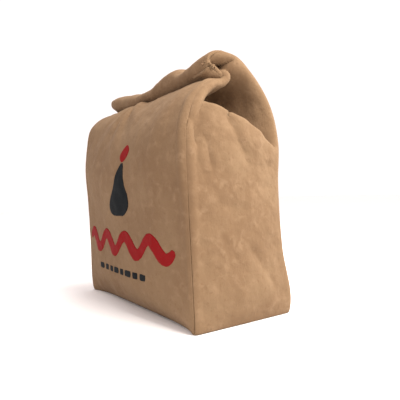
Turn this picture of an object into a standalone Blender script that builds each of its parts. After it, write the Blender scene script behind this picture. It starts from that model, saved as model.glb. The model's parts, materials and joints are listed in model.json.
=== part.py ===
"""Cloth hand puppet in the shape of a paper bag with a rolled top.

Every cloth piece is its own closed sheet. The walls follow two outlines in the YZ plane, one for the
front and one for the back, and the gussets are stretched between them. The roll turns about the
inner fold, where the front wall's cloth folds back into the roll.

Units are metres, +Z is up, +X is the right-hand side of someone who looks at the front, and the
front faces -Y. Pieces are modelled with the middle of the base at the origin; the empty that they
hang from then puts the middle of the whole object's footprint there.
"""

import math

import bmesh
import bpy
from mathutils import Matrix, Vector

MM = 0.001

# Bag: driving sizes
WIDTH = 193.0 * MM  # seam to seam, across the front
DEPTH = 86.0 * MM  # front seam to back seam, along the foot
NECK_HEIGHT = 175.5 * MM  # inner fold that the roll turns about
NECK_Y = -0.5 * MM
SHOULDER_DROP = 65.0 * MM  # from the neck down to where the walls begin to lean in
SHOULDER_NARROWING = 9.5 * MM  # how far each side seam moves in towards the neck
CLOTH = 2.5 * MM
GAP = 0.3 * MM  # between pieces that touch or are sewn together
CURVE_GAP = 0.7 * MM  # the same where both pieces follow a curve in their own steps

# Bag: how the walls lean and how far the filling pushes them out
FRONT_LEAN = 1.0 * MM  # outwards, foot to shoulder
BACK_LEAN = 6.5 * MM  # inwards, foot to shoulder
FRONT_BULGE = 13.0 * MM
BACK_BULGE = 9.0 * MM
SIDE_BULGE = 5.0 * MM
BULGE_RISE = 30.0 * MM  # height over which a wall swells out from its foot
GUSSET_TUCK = 24.0 * MM  # how deep the gusset folds in under the roll
GUSSET_FOLD_DROP = 47.5 * MM  # from the neck down to where the gusset starts to fold in
GUSSET_FOLD_TILT = 6.0 * MM  # how much higher the fold starts at the back
GUSSET_FOLD_BOW = 5.0 * MM  # how far its upper edge bows back, clear of the tongue
GUSSET_FOLD_STOP = 15.0 * MM  # from the start of the roll back to the fold's upper corner
FRONT_TOP_SETBACK = 3.0 * MM  # from the inner fold forwards to the front wall's upper edge
FRONT_TOP_DROP = 0.5 * MM
CREST_EASE = 24.0 * MM  # length over which the back wall eases into the roll
BACK_SHOULDER = 2.5 * MM  # how far the back swells out at its shoulder

# Roll
ROLL_RADIUS = 9.5 * MM
ROLL_FORWARD = 8.0 * MM  # from the inner fold to the middle of the roll
ROLL_CLEARANCE = 0.5 * MM  # from the inner fold up to the underside of the roll
ROLL_START = 75.0  # degrees from +Y, where the back cloth becomes the roll
ROLL_END = 250.0
ROLL_FILLING_INSET = 12.0 * MM  # from each end of the roll
TONGUE_START = 165.0
TONGUE_END = 245.0
TONGUE_PAST = 0.5 * MM  # how far the tongue's lower edge lies behind the hinge axis
TONGUE_INSET = 1.0 * MM  # from each end of the roll

# Base, hand slot and sleeve
BOARD = 2.0 * MM
BOARD_INSET = 3.5 * MM
SLOT_WIDTH = 104.0 * MM
SLOT_DEPTH = 42.0 * MM
SLOT_Y = -2.0 * MM
BINDING = 1.7 * MM
BINDING_PROUD = 0.6 * MM  # above the stiffener
BINDING_RECESS = 0.5 * MM  # above the surface that the base rests on
SLEEVE_WALL = 1.0 * MM
SLEEVE_DROP = 15.5 * MM  # from the neck down to the sleeve's upper end
SLEEVE_TOP_WIDTH = 86.0 * MM
SLEEVE_TOP_DEPTH = 20.0 * MM

# Filling pads
PAD = 12.0 * MM
PAD_DROP = 23.5 * MM  # from the neck down to the top of the front and back pads
SIDE_PAD_DROP = 4.0 * MM  # from the start of the gusset's fold down to the top of the side pads
SIDE_PAD_START = 62.5 * MM  # from the middle of the bag

# Thread tacks through the roll
TACK_X = {"tack_centre": -12.0 * MM, "tack_right": 79.0 * MM}
TACK_BACK = -2.0 * MM  # from the middle of the roll
THREAD_RADIUS = 0.5 * MM
KNOT_RADIUS = 1.2 * MM
THREAD_CLEARANCE = 0.35 * MM

# Print
FILM = 0.3 * MM
EMBLEM_X = 6.0 * MM
EMBLEM_BASE = 78.0 * MM
EMBLEM_HEIGHT = 42.0 * MM
EMBLEM_WIDTH = 36.0 * MM
LEAF_GAP = 1.5 * MM
LEAF_LENGTH = 12.0 * MM
LEAF_WIDTH = 9.0 * MM
WAVE_MIDDLE = 55.0 * MM
WAVE_LENGTH = 164.0 * MM
WAVE_SWING = 6.0 * MM
WAVE_THICKNESS = 13.0 * MM
WAVE_CRESTS = 3
BAR_MIDDLE = 32.0 * MM
BAR_LENGTH = 98.0 * MM
BAR_HEIGHT = 5.0 * MM

# Worked out from the sizes above
WALL_FOOT = CLOTH + GAP
SHOULDER = NECK_HEIGHT - SHOULDER_DROP
GUSSET_FOLD_START = NECK_HEIGHT - GUSSET_FOLD_DROP
ROLL_MIDDLE = Vector((0, NECK_Y - ROLL_FORWARD, NECK_HEIGHT + ROLL_CLEARANCE + ROLL_RADIUS))
TONGUE_RADIUS = ROLL_RADIUS - CLOTH - GAP - CLOTH / 2
ROLL_FILLING_RADIUS = TONGUE_RADIUS - CLOTH / 2 - GAP
SLEEVE_TOP = NECK_HEIGHT - SLEEVE_DROP
FLOOR_OF_PADS = WALL_FOOT + BOARD + GAP
UNDER_CLOTH = CLOTH + CURVE_GAP

KRAFT = (0.50, 0.32, 0.20)
KRAFT_DEEP = (0.40, 0.24, 0.14)
BATTING = (0.80, 0.78, 0.74)
INK = (0.015, 0.022, 0.030)
RED = (0.38, 0.012, 0.016)


def smooth(value):
    """Ease from 0 to 1, flat at both ends."""
    value = min(max(value, 0.0), 1.0)
    return value * value * (3 - 2 * value)


def bezier(points, count):
    """Points along a cubic curve, without its first one."""
    a, b, c, d = (Vector(p) for p in points)
    curve = []
    for i in range(1, count + 1):
        t = i / count
        curve.append(a * (1 - t) ** 3 + b * 3 * t * (1 - t) ** 2 + c * 3 * t * t * (1 - t) + d * t**3)
    return curve


class Outline:
    """A wall's outer face in the YZ plane, walked by length from the foot up."""

    def __init__(self, points, outward):
        self.points = points
        self.outward = outward
        self.lengths = [0.0]
        for a, b in zip(points, points[1:]):
            self.lengths.append(self.lengths[-1] + (b - a).length)
        self.length = self.lengths[-1]

    def locate(self, s):
        """The stretch that holds length s, and how far along it s lies."""
        last = len(self.points) - 2
        i = next((k for k in range(last) if s < self.lengths[k + 1]), last)
        return i, (s - self.lengths[i]) / (self.lengths[i + 1] - self.lengths[i])

    def inset(self, s, depth):
        """The point at length s, moved inwards by depth but not below the foot."""
        i, share = self.locate(s)
        a, b = self.points[i], self.points[i + 1]
        point = a.lerp(b, share) - self.normal(i, share) * depth
        return Vector((point.x, max(point.y, WALL_FOOT)))

    def normal(self, i, share):
        """Outward direction, eased from one stretch to the next."""
        along = self.tangent(i - 0.5 + share)
        return Vector((-along.y, along.x)).normalized() * self.outward

    def tangent(self, place):
        """Direction of travel, blended between the middles of neighbouring stretches."""
        last = len(self.points) - 2
        low = min(max(math.floor(place), 0), last)
        high = min(low + 1, last)
        ways = [(self.points[k + 1] - self.points[k]).normalized() for k in (low, high)]
        return ways[0].lerp(ways[1], min(max(place - low, 0.0), 1.0))

    def at_height(self, z):
        """Length from the foot to height z."""
        for i, (a, b) in enumerate(zip(self.points, self.points[1:])):
            if a.y <= z <= b.y:
                return self.lengths[i] + (self.lengths[i + 1] - self.lengths[i]) * (z - a.y) / (b.y - a.y)
        return self.length


def roll_point(radius, degrees):
    """A point of the roll's section, as (y, z)."""
    angle = math.radians(degrees)
    return Vector((ROLL_MIDDLE.y + radius * math.cos(angle), ROLL_MIDDLE.z + radius * math.sin(angle)))


def front_outline():
    """Front wall: nearly upright, then over the shoulder to the inner fold."""
    foot = -DEPTH / 2
    shoulder = foot - FRONT_LEAN
    top = Vector((NECK_Y - FRONT_TOP_SETBACK, NECK_HEIGHT - FRONT_TOP_DROP))
    lower = [Vector((foot, WALL_FOOT)).lerp(Vector((shoulder, SHOULDER)), i / 8) for i in range(9)]
    rising = (shoulder, SHOULDER + 0.54 * SHOULDER_DROP)
    closing = (0.7 * shoulder, top.y - 0.08 * SHOULDER_DROP)
    upper = bezier([lower[-1], rising, closing, top], 24)
    return Outline(lower + upper, 1)


def back_outline():
    """Back wall: leans in, then over the shoulder until it meets the roll."""
    foot = DEPTH / 2
    shoulder = foot - BACK_LEAN
    top = roll_point(ROLL_RADIUS, ROLL_START)
    away = Vector((math.sin(math.radians(ROLL_START)), -math.cos(math.radians(ROLL_START))))
    start = Vector((foot, WALL_FOOT))
    lower_bends = [(foot - 0.45 * BACK_LEAN, 0.38 * SHOULDER), (shoulder, 0.72 * SHOULDER)]
    lower = [start] + bezier([start, *lower_bends, (shoulder, SHOULDER)], 10)
    upper_bends = [(shoulder + BACK_SHOULDER, SHOULDER + 0.82 * SHOULDER_DROP), top + away * CREST_EASE]
    upper = bezier([lower[-1], *upper_bends, top], 24)
    return Outline(lower + upper, -1)


FRONT = front_outline()
BACK = back_outline()


def half_width(z):
    """From the middle of the bag to the side seam, at height z."""
    return WIDTH / 2 - SHOULDER_NARROWING * smooth((z - SHOULDER - 10 * MM) / SHOULDER_DROP)


def swell(z):
    """Share of a wall's full bulge at height z."""
    return smooth(z / BULGE_RISE) * (1 - smooth((z - SHOULDER) / (0.92 * SHOULDER_DROP)))


def wall_point(outline, bulge, x, s, depth):
    """A point of the front or back wall, depth inside its outer face."""
    z = outline.inset(s, 0).y
    share = x / half_width(z)
    out = bulge * (1 - share * share) * swell(z)
    y, z = outline.inset(s, depth - out)
    return Vector((x, y, z))


def slab(outer, inner, across, along):
    """Closed sheet between two surfaces that are sampled on the same grid."""
    mesh = bmesh.new()
    sides = []
    for surface in (outer, inner):
        grid = [
            [mesh.verts.new(surface(i / across, j / along)) for j in range(along + 1)]
            for i in range(across + 1)
        ]
        for i in range(across):
            for j in range(along):
                mesh.faces.new([grid[i][j], grid[i + 1][j], grid[i + 1][j + 1], grid[i][j + 1]])
        bottom = [row[0] for row in grid]
        top = [row[-1] for row in grid]
        sides.append(bottom + grid[-1][1:] + top[-2::-1] + grid[0][-2:0:-1])
    for k in range(len(sides[0])):
        mesh.faces.new([sides[0][k - 1], sides[0][k], sides[1][k], sides[1][k - 1]])
    bmesh.ops.recalc_face_normals(mesh, faces=mesh.faces)
    return mesh


def ring(loops):
    """Closed ring through loops of equal count, the last joined to the first."""
    mesh = bmesh.new()
    rows = [[mesh.verts.new(p) for p in loop] for loop in loops]
    for row, following in zip(rows, rows[1:] + rows[:1]):
        for k in range(len(row)):
            mesh.faces.new([row[k - 1], row[k], following[k], following[k - 1]])
    bmesh.ops.recalc_face_normals(mesh, faces=mesh.faces)
    return mesh


def turned(profile, sides):
    """Solid of revolution about Z, from (radius, z) pairs that start and end on the axis."""
    mesh = bmesh.new()
    poles = [mesh.verts.new((0, 0, profile[k][1])) for k in (0, -1)]
    rows = []
    for radius, z in profile[1:-1]:
        angles = [2 * math.pi * k / sides for k in range(sides)]
        rows.append([mesh.verts.new((radius * math.cos(a), radius * math.sin(a), z)) for a in angles])
    for k in range(sides):
        mesh.faces.new([poles[0], rows[0][k - 1], rows[0][k]])
        mesh.faces.new([poles[1], rows[-1][k], rows[-1][k - 1]])
        for row, following in zip(rows, rows[1:]):
            mesh.faces.new([row[k - 1], row[k], following[k], following[k - 1]])
    bmesh.ops.recalc_face_normals(mesh, faces=mesh.faces)
    return mesh


def rectangle(width, depth, z, per_side=10):
    """Rectangle about the middle of the base, with points along its sides."""
    corners = [Vector((sx * width / 2, sy * depth / 2, z)) for sx, sy in ((1, -1), (1, 1), (-1, 1), (-1, -1))]
    points = []
    for a, b in zip(corners, corners[1:] + corners[:1]):
        points += [a.lerp(b, k / per_side) for k in range(per_side)]
    return points


def oval(width, depth, z, per_side=10):
    """Oval about the hand slot, its points in line with those of a rectangle."""
    points = []
    for corner in rectangle(2, 2, 0, per_side):
        x, y = corner.normalized().xy
        points.append(Vector((x * width / 2, SLOT_Y + y * depth / 2, z)))
    return points


def finish(name, colour, roughness):
    """A material of one colour for one piece."""
    material = bpy.data.materials.new(name)
    material.use_nodes = True
    shader = material.node_tree.nodes["Principled BSDF"]
    shader.inputs["Base Color"].default_value = (*colour, 1)
    shader.inputs["Roughness"].default_value = roughness
    shader.inputs["Metallic"].default_value = 0
    return material


def add_piece(name, mesh, parent, colour, roughness=0.95):
    """Make a named object that hangs from an empty, from a mesh in the bag's own frame."""
    data = bpy.data.meshes.new(name)
    pivot = Vector((0, 0, 0)) if parent.parent is None else parent.location
    mesh.transform(Matrix.Translation(-pivot))
    mesh.to_mesh(data)
    mesh.free()
    data.shade_smooth()
    data.set_sharp_from_angle(angle=math.radians(40))
    data.materials.append(finish(name, colour, roughness))
    piece = bpy.data.objects.new(name, data)
    piece.parent = parent
    bpy.context.scene.collection.objects.link(piece)
    return piece


def add_empty(name, parent=None, location=(0, 0, 0)):
    """An empty that pieces hang from."""
    empty = bpy.data.objects.new(name, None)
    empty.parent = parent
    empty.location = location
    bpy.context.scene.collection.objects.link(empty)
    return empty


def wall(outline, bulge, start, end, across, along):
    """Sheet of cloth along an outline, from length start to length end."""

    def face(depth):
        def point(a, b):
            s = start + (end - start) * b
            x = (2 * a - 1) * half_width(outline.inset(s, 0).y)
            return wall_point(outline, bulge, x, s, depth)

        return point

    return slab(face(0), face(CLOTH), across, along)


def add_walls(bag):
    """Front panel, back panel, and the yoke between the back panel and the roll."""
    add_piece("front_panel", wall(FRONT, FRONT_BULGE, 0, FRONT.length, 14, 22), bag, KRAFT)
    split = BACK.at_height(SHOULDER + 0.6 * SHOULDER_DROP)
    add_piece("back_panel", wall(BACK, BACK_BULGE, 0, split, 14, 16), bag, KRAFT)
    add_piece("back_yoke", wall(BACK, BACK_BULGE, split + GAP, BACK.length, 14, 8), bag, KRAFT)


def gusset_row(front_length, back_length, share, bow):
    """A point between the two walls' inner faces, as (y, z)."""
    a = FRONT.inset(front_length, UNDER_CLOTH)
    b = BACK.inset(back_length, UNDER_CLOTH)
    away = Vector(((b - a).y, -(b - a).x)).normalized()
    return a.lerp(b, share) + away * bow * 4 * share * (1 - share)


def side_wall(side, depth):
    """Outer face of the lower gusset, or a face at some depth under it."""
    front_top = FRONT.at_height(GUSSET_FOLD_START)
    back_top = BACK.at_height(GUSSET_FOLD_START + GUSSET_FOLD_TILT)

    def point(share, rise):
        y, z = gusset_row(front_top * rise, back_top * rise, share, 0)
        out = SIDE_BULGE * 4 * share * (1 - share) * smooth(z / BULGE_RISE)
        out *= 1 - smooth((z - SHOULDER) / (GUSSET_FOLD_START - SHOULDER))
        return Vector((side * (half_width(z) + out - depth), y, z))

    return point


def folded_side(side, depth):
    """Outer face of the gusset's upper part, which folds in between the walls."""
    back_start = BACK.at_height(GUSSET_FOLD_START + GUSSET_FOLD_TILT)
    starts = FRONT.at_height(GUSSET_FOLD_START) + GAP, back_start + GAP
    ends = FRONT.length - 1 * MM, BACK.length - GUSSET_FOLD_STOP

    def point(share, rise):
        lengths = [a + (b - a) * rise for a, b in zip(starts, ends)]
        y, z = gusset_row(*lengths, share, GUSSET_FOLD_BOW * rise**3)
        tuck = GUSSET_TUCK * smooth(rise / 0.45) * smooth(share / 0.4) * smooth((1 - share) / 0.5)
        return Vector((side * (half_width(z) - tuck - depth), y, z))

    return point


def add_gussets(bag):
    """Lower gussets, and their upper parts that fold in under the roll."""
    for name, side in (("right", 1), ("left", -1)):
        add_piece(f"{name}_gusset", slab(side_wall(side, 0), side_wall(side, CLOTH), 10, 12), bag, KRAFT)
        fold = slab(folded_side(side, 0), folded_side(side, CLOTH), 14, 12)
        add_piece(f"{name}_gusset_fold", fold, bag, KRAFT_DEEP)


def add_base(bag):
    """Base panel and stiffener with their hand slot, and the binding that lines it."""

    def plate(width, depth, low, high):
        outer = [rectangle(width, depth, z) for z in (low, high)]
        return ring(outer + [oval(SLOT_WIDTH, SLOT_DEPTH, z) for z in (high, low)])

    add_piece("base_panel", plate(WIDTH, DEPTH, 0, CLOTH), bag, KRAFT)
    board = plate(WIDTH - 2 * BOARD_INSET, DEPTH - 2 * BOARD_INSET, WALL_FOOT, WALL_FOOT + BOARD)
    add_piece("base_board", board, bag, (0.45, 0.36, 0.26))
    low, high = BINDING_RECESS, FLOOR_OF_PADS + BINDING_PROUD
    loops = []
    for inset, z in ((GAP, low), (GAP, high), (BINDING, high), (BINDING, low)):
        loops.append(oval(SLOT_WIDTH - 2 * inset, SLOT_DEPTH - 2 * inset, z))
    add_piece("slot_binding", ring(loops), bag, KRAFT_DEEP)
    return high


def add_sleeve(bag, low):
    """Lining that takes the hand from the slot up to the neck."""
    loops = []
    for wall_inset, levels in ((0, (0, 1)), (SLEEVE_WALL, (1, 0))):
        for level in levels:
            width = (SLOT_WIDTH - 2 * GAP) * (1 - level) + SLEEVE_TOP_WIDTH * level - 2 * wall_inset
            depth = (SLOT_DEPTH - 2 * GAP) * (1 - level) + SLEEVE_TOP_DEPTH * level - 2 * wall_inset
            loops.append(oval(width, depth, low + GAP + (SLEEVE_TOP - low) * level, 8))
    add_piece("hand_sleeve", ring(loops), bag, (0.30, 0.19, 0.12))


def above_board(point, rise):
    """Rest a pad's foot on the stiffener and keep the rest of it above."""
    height = FLOOR_OF_PADS if rise == 0 else max(point.z, FLOOR_OF_PADS + GAP)
    return Vector((point.x, point.y, height))


def pad(outline, bulge):
    """Batting behind a wall: follows the wall outside and is flat inside."""
    start, end = outline.at_height(FLOOR_OF_PADS), outline.at_height(NECK_HEIGHT - PAD_DROP)
    reach = SIDE_PAD_START - 2 * GAP

    def face(swelling, depth):
        def point(a, b):
            s = start + (end - start) * b
            return above_board(wall_point(outline, swelling, (2 * a - 1) * reach, s, depth), b)

        return point

    return slab(face(bulge, UNDER_CLOTH), face(0, UNDER_CLOTH + PAD), 10, 14)


def side_pad(side):
    """Batting behind a gusset, from one wall's cloth to the other's."""
    cloth = side_wall(side, UNDER_CLOTH + GAP)
    high = 1 - SIDE_PAD_DROP / GUSSET_FOLD_START

    def outer(share, rise):
        return above_board(cloth(0.01 + 0.98 * share, high * rise), rise)

    def inner(share, rise):
        place = outer(share, rise)
        return Vector((side * SIDE_PAD_START, place.y, place.z))

    return slab(outer, inner, 8, 10)


def add_filling(bag):
    """Four pads of batting around the hand sleeve."""
    add_piece("front_filling", pad(FRONT, FRONT_BULGE), bag, BATTING)
    add_piece("back_filling", pad(BACK, BACK_BULGE), bag, BATTING)
    add_piece("right_filling", side_pad(1), bag, BATTING)
    add_piece("left_filling", side_pad(-1), bag, BATTING)


def film(place, across, along):
    """Thin print on the front wall. place gives (x, height) for shares across and along."""

    def face(height):
        def point(a, b):
            x, z = place(a, b)
            return wall_point(FRONT, FRONT_BULGE, x, FRONT.at_height(z), -height)

        return point

    return slab(face(GAP + FILM), face(GAP), across, along)


def emblem(a, b):
    """Upright pear: a round foot that narrows to a rounded top."""
    share = 0.02 + 0.96 * b
    half = EMBLEM_WIDTH / 2 * math.sqrt(math.sin(math.pi * share**0.72)) * (1 - 0.52 * smooth(1.3 * share))
    return EMBLEM_X + (2 * a - 1) * half, EMBLEM_BASE + EMBLEM_HEIGHT * b


def leaf(a, b):
    """Slanted leaf above the pear."""
    half = LEAF_WIDTH / 2 * math.sin(math.pi * (0.04 + 0.92 * b)) ** 0.8
    x = EMBLEM_X + LEAF_LENGTH * 0.5 * b + (2 * a - 1) * half
    return x, EMBLEM_BASE + EMBLEM_HEIGHT + LEAF_GAP + LEAF_LENGTH * b


def wave(a, b):
    """Ribbon that swings above and below its middle line."""
    x = (a - 0.5) * WAVE_LENGTH
    swing = WAVE_SWING * math.sin(2 * math.pi * WAVE_CRESTS * a)
    return x, WAVE_MIDDLE + swing + (b - 0.5) * WAVE_THICKNESS


def bar(a, b):
    """Plain bar under the ribbon."""
    return (a - 0.5) * BAR_LENGTH, BAR_MIDDLE + (b - 0.5) * BAR_HEIGHT


def add_print(bag):
    """Thin printed films on the front wall."""
    add_piece("print_emblem", film(emblem, 6, 12), bag, INK, 0.7)
    add_piece("print_leaf", film(leaf, 3, 6), bag, RED, 0.7)
    add_piece("print_wave", film(wave, 48, 2), bag, RED, 0.7)
    add_piece("print_bar", film(bar, 16, 1), bag, INK, 0.7)


def cover():
    """Back wall's cloth, wrapped over the front of the roll and under it."""
    start = ROLL_START + math.degrees(GAP / ROLL_RADIUS)
    reach = half_width(ROLL_MIDDLE.z)

    def face(depth):
        def point(a, b):
            y, z = roll_point(ROLL_RADIUS - depth, start + (ROLL_END - start) * b)
            return Vector(((2 * a - 1) * reach, y, z))

        return point

    return slab(face(0), face(CLOTH), 8, 18)


def tongue():
    """Front wall's cloth, from the inner fold forwards and up inside the roll."""
    arc = [roll_point(TONGUE_RADIUS, TONGUE_START + (TONGUE_END - TONGUE_START) * k / 8) for k in range(9)]
    fold = Vector((NECK_Y + TONGUE_PAST, NECK_HEIGHT))
    line = Outline(arc + [arc[-1].lerp(fold, k / 4) for k in range(1, 5)], 1)
    reach = half_width(ROLL_MIDDLE.z) - TONGUE_INSET

    def face(depth):
        def point(a, b):
            y, z = line.inset(line.length * b, depth)
            return Vector(((2 * a - 1) * reach, y, z))

        return point

    return slab(face(-CLOTH / 2), face(CLOTH / 2), 8, 12)


def roll_core():
    """Round core of batting inside the roll."""
    mesh = bmesh.new()
    length = 2 * (half_width(ROLL_MIDDLE.z) - ROLL_FILLING_INSET)
    turn = Matrix.Rotation(math.radians(90), 4, "Y")
    bmesh.ops.create_cone(
        mesh,
        cap_ends=True,
        segments=16,
        radius1=ROLL_FILLING_RADIUS,
        radius2=ROLL_FILLING_RADIUS,
        depth=length,
        matrix=Matrix.Translation(ROLL_MIDDLE) @ turn,
    )
    return mesh


def tack_span():
    """Heights where the thread leaves the roll below and above."""
    half = math.sqrt(ROLL_RADIUS**2 - TACK_BACK**2)
    return ROLL_MIDDLE.z - half, ROLL_MIDDLE.z + half


def tack(x):
    """Thread through the roll, with a knot at each end."""
    low, high = tack_span()
    below = low - GAP - KNOT_RADIUS
    above = high + GAP + KNOT_RADIUS
    steps = 4
    knot = [math.pi * k / (2 * steps) for k in range(steps * 2 - 1)]
    rise = [(KNOT_RADIUS * math.sin(a), below - KNOT_RADIUS * math.cos(a)) for a in knot]
    profile = rise + [(THREAD_RADIUS, below + KNOT_RADIUS), (THREAD_RADIUS, above - KNOT_RADIUS)]
    profile += [(r, above + below - z) for r, z in reversed(rise)]
    mesh = turned(profile, 10)
    mesh.transform(Matrix.Translation((x, ROLL_MIDDLE.y + TACK_BACK, 0)))
    return mesh


def cut_for_threads(piece, hinge):
    """Pierce a piece of the roll where each thread passes."""
    low, high = tack_span()
    for name, x in TACK_X.items():
        mesh = bmesh.new()
        radius = THREAD_RADIUS + THREAD_CLEARANCE
        place = Vector((x, ROLL_MIDDLE.y + TACK_BACK, (low + high) / 2)) - hinge.location
        bmesh.ops.create_cone(
            mesh,
            cap_ends=True,
            segments=12,
            radius1=radius,
            radius2=radius,
            depth=high - low + 4 * CLOTH,
            matrix=Matrix.Translation(place),
        )
        data = bpy.data.meshes.new(f"{name}_cutter")
        mesh.to_mesh(data)
        mesh.free()
        cutter = bpy.data.objects.new(f"{piece.name}_{name}_cutter", data)
        cutter.parent = hinge
        cutter.hide_render = True
        cutter.display_type = "WIRE"
        bpy.context.scene.collection.objects.link(cutter)
        cut = piece.modifiers.new(name, "BOOLEAN")
        cut.operation = "DIFFERENCE"
        cut.object = cutter


def add_roll(hinge):
    """Everything that lifts with the rolled top."""
    for name, mesh, colour in (
        ("roll_cover", cover(), KRAFT),
        ("roll_tongue", tongue(), KRAFT),
        ("roll_filling", roll_core(), BATTING),
    ):
        piece = add_piece(name, mesh, hinge, colour)
        cut_for_threads(piece, hinge)
    for name, x in TACK_X.items():
        add_piece(name, tack(x), hinge, KRAFT_DEEP)


def centre_footprint(bag):
    """Move the bag so that the middle of its footprint is at the origin."""
    bpy.context.view_layer.update()
    depths = [
        (piece.matrix_world @ vertex.co).y
        for piece in bpy.data.objects
        if piece.type == "MESH" and not piece.hide_render
        for vertex in piece.data.vertices
    ]
    bag.location.y = -(min(depths) + max(depths)) / 2


def main():
    """Build the puppet."""
    for existing in list(bpy.data.objects):
        bpy.data.objects.remove(existing, do_unlink=True)
    bag = add_empty("bag_frame")
    hinge = add_empty("roll_hinge", bag, (0, NECK_Y, NECK_HEIGHT))
    add_walls(bag)
    add_gussets(bag)
    binding_top = add_base(bag)
    add_sleeve(bag, binding_top)
    add_filling(bag)
    add_print(bag)
    add_roll(hinge)
    centre_footprint(bag)


main()
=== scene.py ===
"""Looks of a soft cloth hand puppet that is shaped as a paper bag with a rolled top.

Each cloth panel is one sheet, shaped by a few rails along its seams and by how far the filling pushes
it out between them. The front panel's cloth runs on over the inner fold into the roll, and the back
panel's cloth runs on over the top of the roll and under it. Two pleated gussets close the sides.

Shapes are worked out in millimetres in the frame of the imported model: +Z is up, the front faces -Y.
"""

import json
import logging
import math
from dataclasses import dataclass
from enum import Enum

import bpy
import numpy as np
from mathutils import Matrix, Vector, noise
from mathutils.bvhtree import BVHTree

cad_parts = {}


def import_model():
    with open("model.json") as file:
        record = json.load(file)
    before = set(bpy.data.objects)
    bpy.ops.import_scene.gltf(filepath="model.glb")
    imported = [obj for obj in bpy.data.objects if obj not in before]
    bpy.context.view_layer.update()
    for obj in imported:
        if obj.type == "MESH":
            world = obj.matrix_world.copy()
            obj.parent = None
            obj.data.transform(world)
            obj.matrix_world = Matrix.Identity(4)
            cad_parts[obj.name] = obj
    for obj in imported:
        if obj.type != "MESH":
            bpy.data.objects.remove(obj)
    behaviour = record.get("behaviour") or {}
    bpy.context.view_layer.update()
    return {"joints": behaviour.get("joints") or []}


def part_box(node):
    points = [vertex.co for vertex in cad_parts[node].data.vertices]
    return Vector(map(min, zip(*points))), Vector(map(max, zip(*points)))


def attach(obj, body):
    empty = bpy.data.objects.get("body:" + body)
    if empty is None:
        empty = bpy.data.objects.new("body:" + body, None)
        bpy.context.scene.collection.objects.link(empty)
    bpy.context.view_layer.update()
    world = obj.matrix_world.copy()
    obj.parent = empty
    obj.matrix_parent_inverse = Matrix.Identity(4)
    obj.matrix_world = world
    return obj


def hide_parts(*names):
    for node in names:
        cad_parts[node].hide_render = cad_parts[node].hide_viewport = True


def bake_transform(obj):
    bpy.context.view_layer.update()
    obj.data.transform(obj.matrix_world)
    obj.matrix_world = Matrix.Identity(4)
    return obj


LOG = logging.getLogger("bag_puppet")
MM = 0.001
Socket = bpy.types.NodeSocket
Faces = list[tuple[int, ...]]


class Side(Enum):
    """Which end of the bag a gusset closes."""

    RIGHT = 1
    LEFT = -1


class Slot(Enum):
    """The record's material slots."""

    CLOTH = "kraft_cloth"
    BOARD = "stiffener"
    TAPE = "binding_tape"
    LINING = "lining"
    BATTING = "batting"
    THREAD = "thread"
    DARK_INK = "dark_print"
    RED_INK = "red_print"


# ---------------------------------------------------------------- small helpers


def smooth(value: np.ndarray | float) -> np.ndarray:
    """Ease from 0 to 1, flat at both ends."""
    value = np.clip(value, 0.0, 1.0)
    return value * value * (3 - 2 * value)


def rise(value: np.ndarray | float, start: float, end: float) -> np.ndarray:
    """Ease from 0 at start to 1 at end."""
    return smooth((value - start) / (end - start))


def plateau(value: np.ndarray, start: float, full: float, fade: float, end: float) -> np.ndarray:
    """Ease from 0 at start to 1 between full and fade, and back to 0 at end."""
    return rise(value, start, full) * (1 - rise(value, fade, end))


def hump(value: np.ndarray | float, centre: float, width: float) -> np.ndarray:
    """Bell of height 1 about centre."""
    return np.exp(-(((value - centre) / width) ** 2))


def hex_colour(code: str) -> tuple[float, float, float, float]:
    """Turn an sRGB hex value to linear RGBA.

    Args:
        code: six hex digits, such as "c8a07d".

    Returns:
        Linear red, green, blue and an alpha of 1.
    """
    linear = []
    for k in (0, 2, 4):
        part = int(code[k : k + 2], 16) / 255
        linear.append(part / 12.92 if part <= 0.04045 else ((part + 0.055) / 1.055) ** 2.4)
    return (*linear, 1.0)


def table(points: tuple[tuple[float, float], ...], value: np.ndarray) -> np.ndarray:
    """Read a smooth line through a few (place, height) points.

    Args:
        points: the line's points, in order of place.
        value: the places to read.

    Returns:
        The heights there.
    """
    places = np.array([p[0] for p in points], float)
    heights = np.array([p[1] for p in points], float)
    slopes = np.gradient(heights, places)
    i = np.clip(np.searchsorted(places, value, side="right") - 1, 0, len(places) - 2)
    step = places[i + 1] - places[i]
    t = np.clip((value - places[i]) / step, 0, 1)
    a, b = heights[i], heights[i + 1]
    ease = t * t * (3 - 2 * t)
    rise = t * (1 - t) ** 2 * slopes[i] - t * t * (1 - t) * slopes[i + 1]
    return a + (b - a) * ease + rise * step


def bumps(points: np.ndarray, size: float, seed: float, octaves: int = 3) -> np.ndarray:
    """Smooth random heights, about -1 to 1, over points in space.

    Args:
        points: places in millimetres, the last axis being x, y and z.
        size: size of the largest bumps, in millimetres.
        seed: moves the pattern, so that each piece has its own.
        octaves: how many finer layers are added.

    Returns:
        A height for each point.
    """
    flat = points.reshape(-1, 3) / size + seed
    heights = [noise.fractal(Vector(p), 0.9, 2.1, octaves) for p in flat]
    return np.array(heights).reshape(points.shape[:-1])


def crumple(points: np.ndarray, layers: tuple, shift: float = 0.0) -> np.ndarray:
    """Add up a few layers of smooth random heights.

    Args:
        points: places in millimetres.
        layers: height, size, seed and octaves of each layer.
        shift: is added to the seeds.

    Returns:
        A height for each point.
    """
    return sum(high * bumps(points, size, seed + shift, octaves) for high, size, seed, octaves in layers)


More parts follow.
